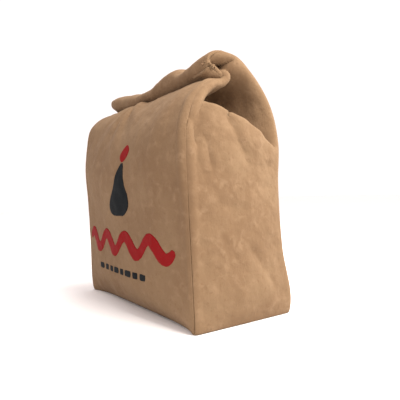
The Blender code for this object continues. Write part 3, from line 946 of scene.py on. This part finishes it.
@dataclass
class Gusset:
    """Side wall in one cloth: puffed out below, folded in under the roll above."""

    shape: BagShape
    cloth: bpy.types.Material
    side: Side
    across: int = 96
    along: int = 200
    puff: float = 4.5
    tuck: float = 38.0  # how deep it folds in
    hollow: float = 26.0  # how deep it folds in between tongue and cover
    rib: float = 3.5  # width of the rounded rib behind the front seam
    lip: float = 0.60  # share of the way up where it folds in
    ridge: float = 0.82  # share where it comes out again between fold and crest
    bow: float = 8.0  # how far its middle is pushed up under the fold
    lag: float = 0.10  # share of the way by which its middle stays behind its edges at the lip
    crumples: tuple = ((1.3, 34, 2.3, 2), (0.75, 11, 9.1, 3))
    creases: tuple = (
        ((-8, -26), (6, -62), 4.0, 2.0), ((-35, -20), (-33, -50), 2.6, 1.8),
        ((-27, -40), (-22, -68), 3.0, 1.6), ((18, -48), (30, -70), 4.5, 1.0),
        ((-25, -88), (10, -96), 5.0, 0.8), ((5, -120), (34, -160), 4.0, 1.2),
    )  # as start, end, width and depth, the places being y and height over the neck

    def edges(self) -> tuple[np.ndarray, np.ndarray, np.ndarray, np.ndarray, np.ndarray]:
        """Rows up the gusset: shares, both edges' points and both edges' places."""
        front, back = self.shape.front_rail(self.side), self.shape.gusset_back_rail(self.side)
        neck = self.shape.neck
        keys = np.array([0, 0.12, 0.30, 0.47, self.lip, self.ridge, 1.0])
        front_keys = [0, *(front.height(z) for z in (30, 80, 128, neck - 19)), 9.1, front.last]
        back_keys = [0, *(back.height(z) for z in (28, 72, 104, neck - 57)), 7.0, back.last]
        v = np.linspace(0, 1, self.along)
        places = [table(tuple(zip(keys, k)), v) for k in (front_keys, back_keys)]
        return v, front.at(places[0]), back.at(places[1]), places[0], places[1]

    def points(self) -> tuple[np.ndarray, np.ndarray]:
        """Grid of the outer face, and the share of the roll's turning at each point."""
        v, front, back, front_place, back_place = self.edges()
        u = finer_at_ends(self.across)[:, None]
        lag = self.lag * plateau(v, self.lip, self.lip + 0.04, self.lip + 0.05, self.lip + 0.17)
        lagged = np.clip(v[None] - lag[None] * smooth(u / 0.2) * smooth((1 - u) / 0.2), 0, 1)
        grid = np.zeros((self.across, self.along, 3))
        for axis in range(3):
            start = np.interp(lagged, v, front[:, axis])
            end = np.interp(lagged, v, back[:, axis])
            grid[..., axis] = start + (end - start) * u
        span = np.linalg.norm(back - front, axis=1)[None]
        from_front, from_back = u * span, (1 - u) * span
        belly = 4 * u * (1 - u)
        grid[..., 2] += self.bow * belly * plateau(v, 0.35, 0.60, 0.66, 0.80)
        out = self.puff * belly * smooth(grid[..., 2] / 28)
        out *= 1 + 0.5 * hump(v, self.lip - 0.06, 0.07) - rise(v, self.lip, self.lip + 0.05)
        pocket = plateau(v, self.lip, self.lip + 0.055, self.ridge - 0.07, self.ridge + 0.01)
        inwards = smooth((from_front - self.rib) / 8) * smooth((from_back - 2) / 26)
        hollow = plateau(v, self.ridge, self.ridge + 0.035, 0.928, 0.988)
        mouth = smooth((from_front - 1.0) / 3.5) * smooth((from_back - 0.5) / 3.5)
        depth = self.tuck * pocket * inwards + self.hollow * hollow * mouth
        depth += 3.0 * hump(from_front, self.rib + 5, 4) * rise(v, 0.40, 0.52) * (1 - pocket)
        grid[..., 0] += self.side.value * (out - depth)
        under_cover = hollow * plateau(from_back, 0, 1.5, 3, 9)
        grid[..., 1] += 1.6 * under_cover
        grid[..., 2] -= 3.4 * under_cover
        grid = relaxed(grid, 5)
        shares = self.turning(u, front_place, back_place)
        return self.wrinkled(grid, v, from_front, from_back), shares

    def turning(self, u: np.ndarray, front_place: np.ndarray, back_place: np.ndarray) -> np.ndarray:
        """Share of the roll's turning, from the front cloth's to the back cloth's."""
        front = rise(front_place, 8.25, 9.75)[None]
        back = rise(back_place, 4.7, 7.8)[None]
        return front + (back - front) * smooth(u)

    def wrinkled(
        self, grid: np.ndarray, v: np.ndarray, from_front: np.ndarray, from_back: np.ndarray
    ) -> np.ndarray:
        """Add seam grooves, the long creases of the puffed part and crumples."""
        sign = self.side.value
        normals = outward_normals(grid, (sign, 0, 0), 80)
        y, z = grid[..., 1], grid[..., 2]
        edge = np.minimum(from_front, from_back)
        inner = smooth(edge / 8) * smooth(z / 10) * (1 - rise(v, self.ridge - 0.1, self.ridge))
        tongue = hump(v, self.ridge + 0.01, 0.06) * (from_front < from_back)
        height = -groove(edge) * (1 + 1.4 * tongue) - groove(z, 0.6, 2.0)
        height += 1.6 * hump(from_front, 3.6, 2.0) * tongue
        height += 0.9 * hump(from_front, 3.2, 2.0) * hump(v, 0.5, 0.22)
        for start, end, width, depth in self.creases:
            height -= depth * self.crease(y, z - self.shape.neck, start, end, width)
        height += crumple(grid, self.crumples, sign) * inner
        return raised(grid, normals, height)

    @staticmethod
    def crease(y: np.ndarray, z: np.ndarray, start: tuple, end: tuple, width: float) -> np.ndarray:
        """Share of a crease's depth at each point, by distance from its line."""
        run = np.array(end, float) - np.array(start, float)
        length = float(np.linalg.norm(run))
        along = ((y - start[0]) * run[0] + (z - start[1]) * run[1]) / length**2
        away = ((y - start[0]) * run[1] - (z - start[1]) * run[0]) / length
        return np.exp(-((away / width) ** 2)) * smooth(along / 0.25 + 0.3) * smooth((1.1 - along) / 0.4)

    def build(self) -> None:
        """Make the gusset and dress it."""
        name = self.side.name.lower()
        grid, shares = self.points()
        faces = grid_faces(self.across, self.along, flip=self.side is Side.RIGHT)
        piece = new_object(f"{name}_gusset_cloth", grid, faces)
        add_thickness(piece, self.shape.cloth)
        dress(piece, self.cloth)
        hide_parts(f"{name}_gusset", f"{name}_gusset_fold")
        bend_with_roll(piece)
        length = self.shape.front_rail(self.side).length()
        report(piece)


# ---------------------------------------------------------------- prints


@dataclass(frozen=True)
class Figure:
    """One printed shape: gives (x, height) for shares across and along it."""

    name: str
    node: str
    ink: str
    across: int
    along: int

    def place(self, a: np.ndarray, b: np.ndarray) -> tuple[np.ndarray, np.ndarray]:
        """Where a point of the shape lies on the front.

        Args:
            a: share across, 0 to 1.
            b: share along, 0 to 1.

        Returns:
            Place along the width and height over the base, in millimetres.
        """
        raise NotImplementedError


@dataclass(frozen=True)
class Pear(Figure):
    """Leaning pear with a round foot and a narrow neck."""

    x: float = 1.0
    base: float = 78.0
    height: float = 42.0
    width: float = 42.0
    lean: float = 15.0

    def place(self, a: np.ndarray, b: np.ndarray) -> tuple[np.ndarray, np.ndarray]:
        """Round foot, waist and rounded top, along a line that leans to the right."""
        share = 0.015 + 0.97 * b
        half = self.width / 2 * np.sqrt(np.sin(np.pi * share**0.72)) * (1 - 0.56 * smooth(1.35 * share))
        return self.x + self.lean * b**1.6 + (2 * a - 1) * half, self.base + self.height * b


@dataclass(frozen=True)
class Leaf(Figure):
    """Pointed oval leaf."""

    x: float = 16.0
    base: float = 121.0
    length: float = 13.0
    width: float = 14.0
    lean: float = 0.45

    def place(self, a: np.ndarray, b: np.ndarray) -> tuple[np.ndarray, np.ndarray]:
        """Widest in its middle and leaning to the right."""
        half = self.width / 2 * np.sin(np.pi * (0.02 + 0.96 * b)) ** 0.75
        return self.x + self.lean * self.length * b + (2 * a - 1) * half, self.base + self.length * b


@dataclass(frozen=True)
class Ribbon(Figure):
    """Brush line that swings up and down and is thicker where it falls."""

    length: float = 164.0
    middle: float = 55.0
    swing: float = 6.5
    thickness: float = 9.5
    crests: int = 4

    def place(self, a: np.ndarray, b: np.ndarray) -> tuple[np.ndarray, np.ndarray]:
        """Points across the brush line, square to its path."""
        turn = 2 * math.pi * self.crests * a
        x, z = (a - 0.5) * self.length, self.middle + self.swing * np.sin(turn)
        slope = self.swing * 2 * math.pi * self.crests / self.length * np.cos(turn)
        tilt = np.hypot(1, slope)
        ends = np.sqrt(np.clip(1 - np.abs(2 * a - 1) ** 40, 0, 1))
        half = (b - 0.5) * self.thickness * (1 - 0.22 * slope / tilt) * ends
        return x - half * slope / tilt, z + half / tilt


@dataclass(frozen=True)
class Dash(Figure):
    """Short upright-ended dash in a row of them."""

    x: float = 0.0
    length: float = 6.0
    middle: float = 32.0
    height: float = 5.0

    def place(self, a: np.ndarray, b: np.ndarray) -> tuple[np.ndarray, np.ndarray]:
        """Rectangle with soft corners."""
        u, v = 2 * a - 1, 2 * b - 1
        soft = 1 - 0.10 * (u * u) * (v * v)
        return self.x + u * self.length / 2 * soft, self.middle + v * self.height / 2 * soft


@dataclass
class FrontPrint:
    """Screen print on the front: pear, leaf, ribbon and a row of dashes."""

    front: bpy.types.Object
    dark: bpy.types.Material
    red: bpy.types.Material
    film: float = 0.16  # thickness of the ink
    ragged: float = 0.22  # how far fibres pull its outline
    row: tuple = (
        (-46, 11), (-32, 8), (-20, 7), (-9, 10), (3, 7), (15, 12), (28, 8), (40, 9),
    )  # the dashes' places and lengths

    def lay(self, tree: BVHTree, figures: list[Figure]) -> None:
        """Lay shapes on the cloth as one film of ink.

        Args:
            tree: the cloth's face.
            figures: the shapes, which share a name, a node and an ink.
        """
        film = Bundle()
        for figure in figures:
            shares = np.linspace(0, 1, figure.across), np.linspace(0, 1, figure.along)
            x, z = figure.place(*np.meshgrid(*shares, indexing="ij"))
            pull = bumps(np.stack([x, np.zeros_like(x), z], -1), 1.6, 4.4, 2) * self.ragged
            x, z = x + pull, z + np.roll(pull, 3, 0)
            points = [self.on_cloth(tree, float(px), float(pz)) for px, pz in zip(x.ravel(), z.ravel())]
            film.add(points, grid_faces(figure.across, figure.along))
        piece = film.build(figures[0].name)
        add_thickness(piece, self.film * 0.8)
        is_dark = figures[0].ink == "dark"
        dress(piece, self.dark if is_dark else self.red)
        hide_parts(figures[0].node)
        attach(piece, "bag")
        report(piece)

    def on_cloth(self, tree: BVHTree, x: float, z: float) -> np.ndarray:
        """Point of the ink's surface at a place along the width and a height."""
        hit, normal, _, _ = tree.ray_cast(Vector((x * MM, -0.3, z * MM)), Vector((0, 1, 0)))
        outwards = -normal if normal.y > 0 else normal
        return np.array(hit + outwards * self.film * MM) / MM

    def build(self) -> None:
        """Lay the four films."""
        tree = BVHTree.FromObject(self.front, bpy.context.evaluated_depsgraph_get())
        self.lay(tree, [Pear("print_pear", "print_emblem", "dark", 24, 40)])
        self.lay(tree, [Leaf("print_red_leaf", "print_leaf", "red", 12, 18)])
        self.lay(tree, [Ribbon("print_ribbon", "print_wave", "red", 260, 9)])
        dashes = [Dash("print_dashes", "print_bar", "dark", 10, 7, x=x, length=n) for x, n in self.row]
        self.lay(tree, dashes)


# ---------------------------------------------------------------- base, slot and sleeve


@dataclass
class Base:
    """Base cloth, stiffener, the tape that binds the hand slot, and the sleeve."""

    shape: BagShape
    cloth: bpy.types.Material
    tape: bpy.types.Material
    lining: bpy.types.Material
    board: bpy.types.Material
    thread: bpy.types.Material
    around: int = 160
    base_rows: int = 30
    tape_rows: int = 20
    sleeve_rows: int = 70
    seam: float = 1.2  # from the walls' face in to the base cloth's edge
    squareness: float = 14.0  # power of the rounded rectangle
    thinner: float = 0.4  # how much thinner the base cloth is than the walls
    tape_width: float = 2.6
    tape_out: float = 1.4  # how far the tape reaches outside the slot's edge
    tape_foot: float = 0.3  # its underside over the floor
    stitch: float = 3.2
    stitch_out: float = 2.6  # from the slot's edge out to the stitches
    stitch_foot: float = 0.35  # their middle over the floor
    stitch_radius: float = 0.28
    gathers: int = 13
    sleeve_top: tuple = (41.0, 9.0)  # half width and half depth of the sleeve's upper rim

    def slot_box(self) -> tuple[float, float, float, float]:
        """The slot's middle, half width and half depth and the tape's top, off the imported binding."""
        low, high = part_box("slot_binding")
        return (low.y + high.y) / 2 / MM, (high.x - low.x) / 2 / MM, (high.y - low.y) / 2 / MM, high.z / MM

    def directions(self) -> np.ndarray:
        """Unit directions around the slot."""
        angle = np.linspace(0, 2 * math.pi, self.around, endpoint=False)
        return np.stack([np.cos(angle), np.sin(angle)], -1)

    def ring(self, grow: float, height: float) -> np.ndarray:
        """Level ring of points around the slot.

        Args:
            grow: how far outside the slot's edge.
            height: over the floor.

        Returns:
            The points.
        """
        middle, half_x, half_y, _ = self.slot_box()
        flat = self.directions() * [half_x + grow, half_y + grow] + [0, middle]
        return np.concatenate([flat, np.full((self.around, 1), height)], -1)

    def outer_edge(self) -> np.ndarray:
        """Rounded rectangle of the base, in line with the slot's points."""
        shape = self.shape
        depth = shape.back_foot - shape.front_foot
        half = np.array([shape.half_width - self.seam, depth / 2 - self.seam])
        ways = self.directions() / np.array([1.0, half[0] / half[1] * 0.62])
        size = (np.abs(ways / half) ** self.squareness).sum(1) ** (-1 / self.squareness)
        edge = ways * size[:, None] + [0, shape.front_foot + depth / 2]
        turned_in = shape.tuck_under * (1 - (edge[:, 0] / half[0]) ** 8)
        edge[:, 1] = np.maximum(edge[:, 1], shape.front_foot + self.seam + turned_in)
        return edge

    def base_cloth(self) -> None:
        """Base panel: pillowed a little between its seam and the slot."""
        outer = self.outer_edge()[None]
        share = finer_at_ends(self.base_rows, 0.4)[:, None, None]
        flat = outer * (1 - share) + self.ring(0.4, 0.0)[None, :, :2] * share
        grid = np.concatenate([flat, np.zeros((*flat.shape[:2], 1))], -1)
        edge = np.linalg.norm(flat - outer, axis=-1)
        grid[..., 2] = 0.25 + groove(edge, 0.9, 1.5)
        grid[..., 2] += 0.25 * np.abs(bumps(grid, 16, 8.8, 3)) * smooth(edge / 6)
        piece = new_object("base_cloth", grid, grid_faces(self.base_rows, self.around, closed=True))
        add_thickness(piece, self.shape.cloth - self.thinner)
        dress(piece, self.cloth)
        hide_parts("base_panel")
        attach(piece, "bag")
        report(piece)

    def binding(self) -> None:
        """Folded tape round the slot's edge, sewn down with a row of stitches."""
        _, half_x, _, top = self.slot_box()
        middle, half = (top + self.tape_foot) / 2, (top - self.tape_foot) / 2
        rings = []
        for turn in 2 * math.pi * np.arange(self.tape_rows) / self.tape_rows:
            across = math.copysign(abs(math.cos(turn)) ** 0.7, math.cos(turn))
            up = math.copysign(abs(math.sin(turn)) ** 0.5, math.sin(turn))
            out = self.tape_out - self.tape_width * (0.5 - 0.5 * across)
            rings.append(self.ring(out, middle + up * half))
        grid = np.array(rings)
        grid[..., :2] *= 1 + 0.12 * bumps(grid, 3.0, 5.1, 2)[..., None] / half_x
        faces = grid_faces(self.tape_rows + 1, self.around, closed=True)
        joined = [tuple(k % (self.tape_rows * self.around) for k in face) for face in faces]
        piece = new_object("slot_tape", grid, joined)
        dress(piece, self.tape)
        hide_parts("slot_binding")
        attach(piece, "bag")
        report(piece)
        path = self.ring(self.stitch_out, self.stitch_foot)
        path = np.vstack([path, path[:1]])
        stitches = stitch_row("slot_stitches", path, self.stitch, self.stitch_radius)
        dress(stitches, self.thread)
        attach(stitches, "bag")
        report(stitches)

    def sleeve(self) -> None:
        """Lining sleeve for the hand, gathered towards its upper end."""
        low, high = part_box("hand_sleeve")
        length = (high.z - low.z) / MM
        middle, half_x, half_y, _ = self.slot_box()
        up = np.linspace(0, 1, self.sleeve_rows)[:, None]
        ways = self.directions()[None]
        turn = np.arctan2(ways[..., 1], ways[..., 0])
        ruffle = 1 + 0.03 * up * np.sin(self.gathers * turn + 3 * up) * smooth(up * 1.5)
        foot = np.array([half_x - 2.0, half_y - 2.0])
        half = foot + (np.array(self.sleeve_top) - foot) * up[..., None]
        flat = ways * half * ruffle[..., None] + [0, middle]
        height = low.z / MM + 0.2 + length * up[..., None]
        grid = np.concatenate([flat, np.broadcast_to(height, (*flat.shape[:2], 1))], -1)
        grid[..., 0] += 0.5 * bumps(grid, 22, 6.6, 2) * smooth(up * 4)
        piece = new_object("sleeve_lining", grid, grid_faces(self.sleeve_rows, self.around, closed=True))
        add_thickness(piece, 0.8)
        dress(piece, self.lining)
        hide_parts("hand_sleeve")
        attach(piece, "bag")
        report(piece)

    def build(self) -> None:
        """Make everything at the foot of the bag."""
        self.base_cloth()
        board = bpy.data.objects["base_board"]
        board.data.materials.clear()
        board.data.materials.append(self.board)
        self.binding()
        self.sleeve()


def stitch_row(name: str, path: np.ndarray, step: float, radius: float) -> bpy.types.Object:
    """Row of short stitches along a level path, each a thread that tapers at both ends.

    Args:
        name: the piece's name.
        path: points in millimetres.
        step: from one stitch to the next.
        radius: of the thread.

    Returns:
        All the stitches, as one piece.
    """
    walked = np.r_[0, np.cumsum(np.linalg.norm(np.diff(path, axis=0), axis=1))]
    count = int(walked[-1] / step)
    sides, rings = 6, 7
    around = np.linspace(0, 2 * math.pi, sides, endpoint=False)[:, None]
    swells = np.sin(np.pi * (np.arange(rings) + 0.35) / (rings - 0.3))
    row = Bundle()
    for i in range(count):
        spots = (i + np.linspace(0.12, 0.88, rings)) * step
        line = np.stack([np.interp(spots, walked, path[:, k]) for k in range(3)], -1)
        along = line[-1] - line[0]
        along /= np.linalg.norm(along)
        side = np.cross(along, [0.0, 0.0, 1.0])
        side /= np.linalg.norm(side)
        up = np.cross(side, along)
        section = np.cos(around) * side + np.sin(around) * up
        points = line[:, None] + radius * swells[:, None, None] * section
        row.add(points.reshape(-1, 3), tube_faces(rings, sides))
    return row.build(name)


# ---------------------------------------------------------------- filling


@dataclass
class Filling:
    """Batting pads around the sleeve, and the core of the roll."""

    shape: BagShape
    batting: bpy.types.Material
    walls: BVHTree
    gap: float = 0.7  # between a pad and the cloth's inner face
    voxel: float = 4.0
    shrink: float = 0.8
    core_reach: float = 78.0  # from the middle to the core's ends
    core_in: float = 7.2  # from the crest forwards to the core's middle
    core_rows: int = 80
    core_sides: int = 28

    def pad(self, node: str) -> None:
        """Woolly pad with soft edges in the place of a packed one.

        Args:
            node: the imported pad.
        """
        source = bpy.data.objects[node]
        piece = bpy.data.objects.new(f"{node}_pad", source.data.copy())
        bpy.context.scene.collection.objects.link(piece)
        remesh = piece.modifiers.new("even", "REMESH")
        remesh.mode = "VOXEL"
        remesh.voxel_size = self.voxel * MM
        ease = piece.modifiers.new("ease", "SMOOTH")
        ease.iterations = 6
        graph = bpy.context.evaluated_depsgraph_get()
        mesh = bpy.data.meshes.new_from_object(piece.evaluated_get(graph))
        piece.modifiers.clear()
        piece.data = mesh
        points = np.array([v.co for v in mesh.vertices]) / MM
        normals = np.array([v.normal for v in mesh.vertices])
        points += normals * (0.5 * bumps(points, 12, 3.3, 3) - self.shrink)[:, None]
        for way in self.pressed_from(node):
            points = self.kept_inside(points, Vector(way))
        mesh.vertices.foreach_set("co", (points * MM).ravel())
        mesh.shade_smooth()
        self.finish(piece, node, "bag", 0.5)

    @staticmethod
    def pressed_from(node: str) -> list[tuple[int, int, int]]:
        """Directions from which cloth presses on a pad, its own wall's first."""
        walls = {"front": (0, -1, 0), "back": (0, 1, 0), "right": (1, 0, 0), "left": (-1, 0, 0)}
        own = walls[node.split("_")[0]]
        beside = [(1, 0, 0), (-1, 0, 0)] if own[1] else [(0, 1, 0), (0, -1, 0)]
        return [own, (0, 0, 1), *beside, own]

    def kept_inside(self, points: np.ndarray, way: Vector) -> np.ndarray:
        """Press a pad's points back where they would pass the cloth.

        Args:
            points: the pad's points.
            way: the direction in which the cloth lies.

        Returns:
            The points, each short of the cloth in that direction.
        """
        axis = int(np.argmax(np.abs(way)))
        middle = (points[:, axis].min() + points[:, axis].max()) / 2
        kept = points.copy()
        for index, point in enumerate(points):
            ahead = (point[axis] - middle) * way[axis]
            if ahead <= 0:
                continue
            start = Vector(point)
            start[axis] = middle
            hit, _, _, away = self.walls.ray_cast(start * MM, way)
            if hit and ahead > away / MM - self.gap:
                kept[index, axis] = middle + way[axis] * max(away / MM - self.gap, 0.0)
        return kept

    def core(self) -> None:
        """Batting core of the roll: thick between the tacks, thin where they draw it in."""
        shape = self.shape
        x = np.linspace(-self.core_reach, self.core_reach, self.core_rows)
        low = shape.crease(x)
        top = shape.crest(x) - 5.5 * hump(x, -22, 9)
        ends = np.sqrt(np.clip(1 - (np.abs(x) / (self.core_reach + 1)) ** 12, 0.02, 1))
        radius = np.clip((top - low) / 2 - 5.6, 1.0, 5) * ends
        turn = np.linspace(0, 2 * math.pi, self.core_sides, endpoint=False)
        y = shape.crest_y - self.core_in + radius[:, None] * 0.9 * np.cos(turn)
        z = ((low + top) / 2 + 0.6)[:, None] + radius[:, None] * np.sin(turn)
        grid = np.stack([np.broadcast_to(x[:, None], y.shape), y, z], -1)
        middle = grid.mean(1, keepdims=True)
        grid = middle + (grid - middle) * (1 + 0.10 * bumps(grid, 9, 2.2, 3))[..., None]
        piece = new_object("roll_core", grid, tube_faces(self.core_rows, self.core_sides))
        self.finish(piece, "roll_filling", "roll_top", 0.6)

    def finish(self, piece: bpy.types.Object, node: str, body: str, fill: float) -> None:
        dress(piece, self.batting)
        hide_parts(node)
        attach(piece, body)
        report(piece)

    def build(self) -> None:
        """Make all the pads."""
        for name in ("front", "back", "right", "left"):
            self.pad(f"{name}_filling")
        self.core()


# ---------------------------------------------------------------- thread tacks


@dataclass
class Tacks:
    """Threads that hold the roll: each tack wraps round its front and ends in a knot."""

    shape: BagShape
    cover: bpy.types.Object
    thread: bpy.types.Material
    radius: float = 0.22
    wraps: int = 2
    steps: int = 26  # points along a wrap
    knot_step: int = 18  # the point of a wrap at which the knot sits
    core_in: float = 8.0  # from the crest forwards to the middle of the wraps
    places: tuple = (
        ("tack_centre", -12.5, (100, 250)),
        ("tack_right", 82.5, (150, 185)),
    )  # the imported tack, its place along the width, and its directions from the roll's middle

    def build(self) -> None:
        """Sew both tacks."""
        tree = BVHTree.FromObject(self.cover, bpy.context.evaluated_depsgraph_get())
        for node, x, reach in self.places:
            self.wrap(tree, node, x, reach)

    def wrap(self, tree: BVHTree, node: str, x: float, reach: tuple[float, float]) -> None:
        """Thread drawn round the front of the roll.

        Args:
            tree: the roll's cover.
            node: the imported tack.
            x: its place along the width.
            reach: the first and last direction from the middle of the roll, in degrees.
        """
        shape = self.shape
        middle = Vector((x, shape.crest_y - self.core_in, float(shape.crease(x) + shape.crest(x)) / 2 - 1))
        turns = np.radians(np.linspace(*reach, self.steps))
        ways = [Vector((0, math.cos(turn), math.sin(turn))) for turn in turns]
        tack = Bundle()
        for strand in range(self.wraps):
            offset = (strand - (self.wraps - 1) / 2) * self.radius * 1.7
            line = []
            for way in ways:
                start = (middle + Vector((offset, 0, 0)) + way * 40) * MM
                hit, _, _, _ = tree.ray_cast(start, -way)
                line.append(np.array(hit / MM + way * self.radius * 0.5 if hit else middle + way * 8))
            tack.add(*tube(np.array(line), self.radius, 8))
        tack.add(*knot_of(line[self.knot_step] + [0, -0.5, -0.2], 0.9))
        piece = tack.build(f"{node}_thread")
        dress(piece, self.thread)
        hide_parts(node)
        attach(piece, "roll_top")
        report(piece)


def tube(line: np.ndarray, radius: float, sides: int) -> tuple[np.ndarray, Faces]:
    """Closed tube along a line of points.

    Args:
        line: its middle, in millimetres.
        radius: of the tube.
        sides: round it.

    Returns:
        Its points and faces.
    """
    ways = np.gradient(line, axis=0)
    ways /= np.linalg.norm(ways, axis=1, keepdims=True)
    side = np.array([1.0, 0.0, 0.0]) - ways * ways[:, :1]
    side /= np.maximum(np.linalg.norm(side, axis=1, keepdims=True), 1e-6)
    up = np.cross(ways, side)
    turn = np.linspace(0, 2 * math.pi, sides, endpoint=False)[None, :, None]
    rings = line[:, None] + radius * (np.cos(turn) * side[:, None] + np.sin(turn) * up[:, None])
    return rings.reshape(-1, 3), tube_faces(len(line), sides, flip=True)


def knot_of(centre: np.ndarray, radius: float) -> tuple[np.ndarray, Faces]:
    """Small overhand knot: a trefoil of thread drawn tight.

    Args:
        centre: its middle, in millimetres.
        radius: how far it reaches.

    Returns:
        Its points and faces.
    """
    t = np.linspace(0, 2 * math.pi, 48, endpoint=False)
    lobes = np.stack([np.sin(t) + 2 * np.sin(2 * t), np.cos(t) - 2 * np.cos(2 * t), -np.sin(3 * t)], -1)
    line = centre + lobes * radius / 3.2
    return tube(line, radius * 0.34, 8)


# ---------------------------------------------------------------- stage


@dataclass
class Studio:
    """Pale floor, two soft lamps, an even surround and the camera."""

    location: tuple = (0.3558, -0.1993, 0.0967)
    azimuth: float = 57.0  # degrees from looking straight at the front, round to its right
    pitch: float = 1.28  # degrees downwards
    roll: float = -2.36
    lens: float = 41.5  # mm
    floor: str = "fbfaf9"
    grain: str = "f7f6f5"
    floor_reach: float = 3000.0
    floor_points: int = 9
    surround: str = "fff5f4"
    fill: float = 1.16  # strength of the surround
    lamp_colour: tuple = (1.0, 0.97, 0.92)
    lamps: tuple = (
        ("key_lamp", (0.40, 0.09, 0.56), (0.0, 0.0, 0.14), 0.30, 7.0),
        ("rim_lamp", (0.30, 0.95, 0.55), (0.0, 0.0, 0.12), 0.45, 10.0),
    )  # name, place, target, size and power

    def camera(self) -> None:
        """Add the camera that the scene is seen through."""
        a, e, r = (math.radians(v) for v in (self.azimuth, self.pitch, self.roll))
        ahead = Vector((-math.sin(a) * math.cos(e), math.cos(a) * math.cos(e), -math.sin(e)))
        right = Vector((math.cos(a), math.sin(a), 0))
        up = right.cross(ahead)
        right, up = right * math.cos(r) + up * math.sin(r), up * math.cos(r) - right * math.sin(r)
        data = bpy.data.cameras.new("camera")
        data.lens = self.lens
        data.sensor_width = 36.0
        data.clip_start = 0.01
        camera = bpy.data.objects.new("camera", data)
        turn = Matrix((right, up, -ahead)).transposed()
        camera.matrix_world = Matrix.Translation(self.location) @ turn.to_4x4()
        bpy.context.scene.collection.objects.link(camera)
        bpy.context.scene.camera = camera

    def lights(self) -> None:
        """Add the two lamps and the surround."""
        for lamp in self.lamps:
            self.area(*lamp)
        world = bpy.data.worlds.new("surround")
        world.use_nodes = True
        background = world.node_tree.nodes["Background"]
        background.inputs["Color"].default_value = hex_colour(self.surround)
        background.inputs["Strength"].default_value = self.fill
        bpy.context.scene.world = world
        bpy.context.scene.view_settings.view_transform = "Standard"

    def area(self, name: str, place: tuple, target: tuple, size: float, power: float) -> None:
        """Add a square area lamp that faces a point."""
        data = bpy.data.lights.new(name, "AREA")
        data.size = size
        data.energy = power
        data.color = self.lamp_colour
        lamp = bpy.data.objects.new(name, data)
        lamp.location = place
        lamp.rotation_euler = (Vector(target) - Vector(place)).to_track_quat("-Z", "Y").to_euler()
        bpy.context.scene.collection.objects.link(lamp)

    def stage_floor(self) -> None:
        """Lay the pale floor."""
        nodes = Nodes("matt_studio_paper")
        colour = nodes.mix(nodes.cloud(4.0, 2.0, 0.5), self.floor, self.grain)
        reach = np.linspace(-self.floor_reach, self.floor_reach, self.floor_points)
        x, y = np.meshgrid(reach, reach, indexing="ij")
        floor = new_object("floor", np.stack([x, y, np.zeros_like(x)], -1), grid_faces(*x.shape))
        floor.data.materials.append(nodes.finish(colour, None, 0.9))


def main() -> None:
    """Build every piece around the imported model."""
    logging.basicConfig(level=logging.INFO, format="%(name)s %(message)s")
    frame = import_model()
    studio = Studio()
    studio.camera()
    studio.lights()
    studio.stage_floor()
    shape = BagShape.from_frame(frame["joints"][0])
    cloth = BrushedCotton().material()
    front = FrontPanel(shape, cloth).build()
    back = BackPanel(shape, cloth).build()
    for side in Side:
        Gusset(shape, cloth, side).build()
    dark = ScreenInk("dark_screen_ink", "0a0f12", "1a2024").material()
    red = ScreenInk("red_screen_ink", "760508", "642016").material()
    FrontPrint(front, dark, red).build()
    thread = TwistedThread().material()
    tape = WovenCotton("woven_cotton_tape", "9a7450", "6f5136", 0.8).material()
    lining = WovenCotton("woven_cotton_lining", "7d5b40", "553c29", 1.0).material()
    Base(shape, cloth, tape, lining, GreyBoard().material(), thread).build()
    walls = faces_of("front_cloth", "back_cloth", "right_gusset_cloth", "left_gusset_cloth", "base_cloth")
    Filling(shape, PolyesterBatting().material(), walls).build()
    Tacks(shape, back, thread).build()


if __name__ == "__main__":
    main()
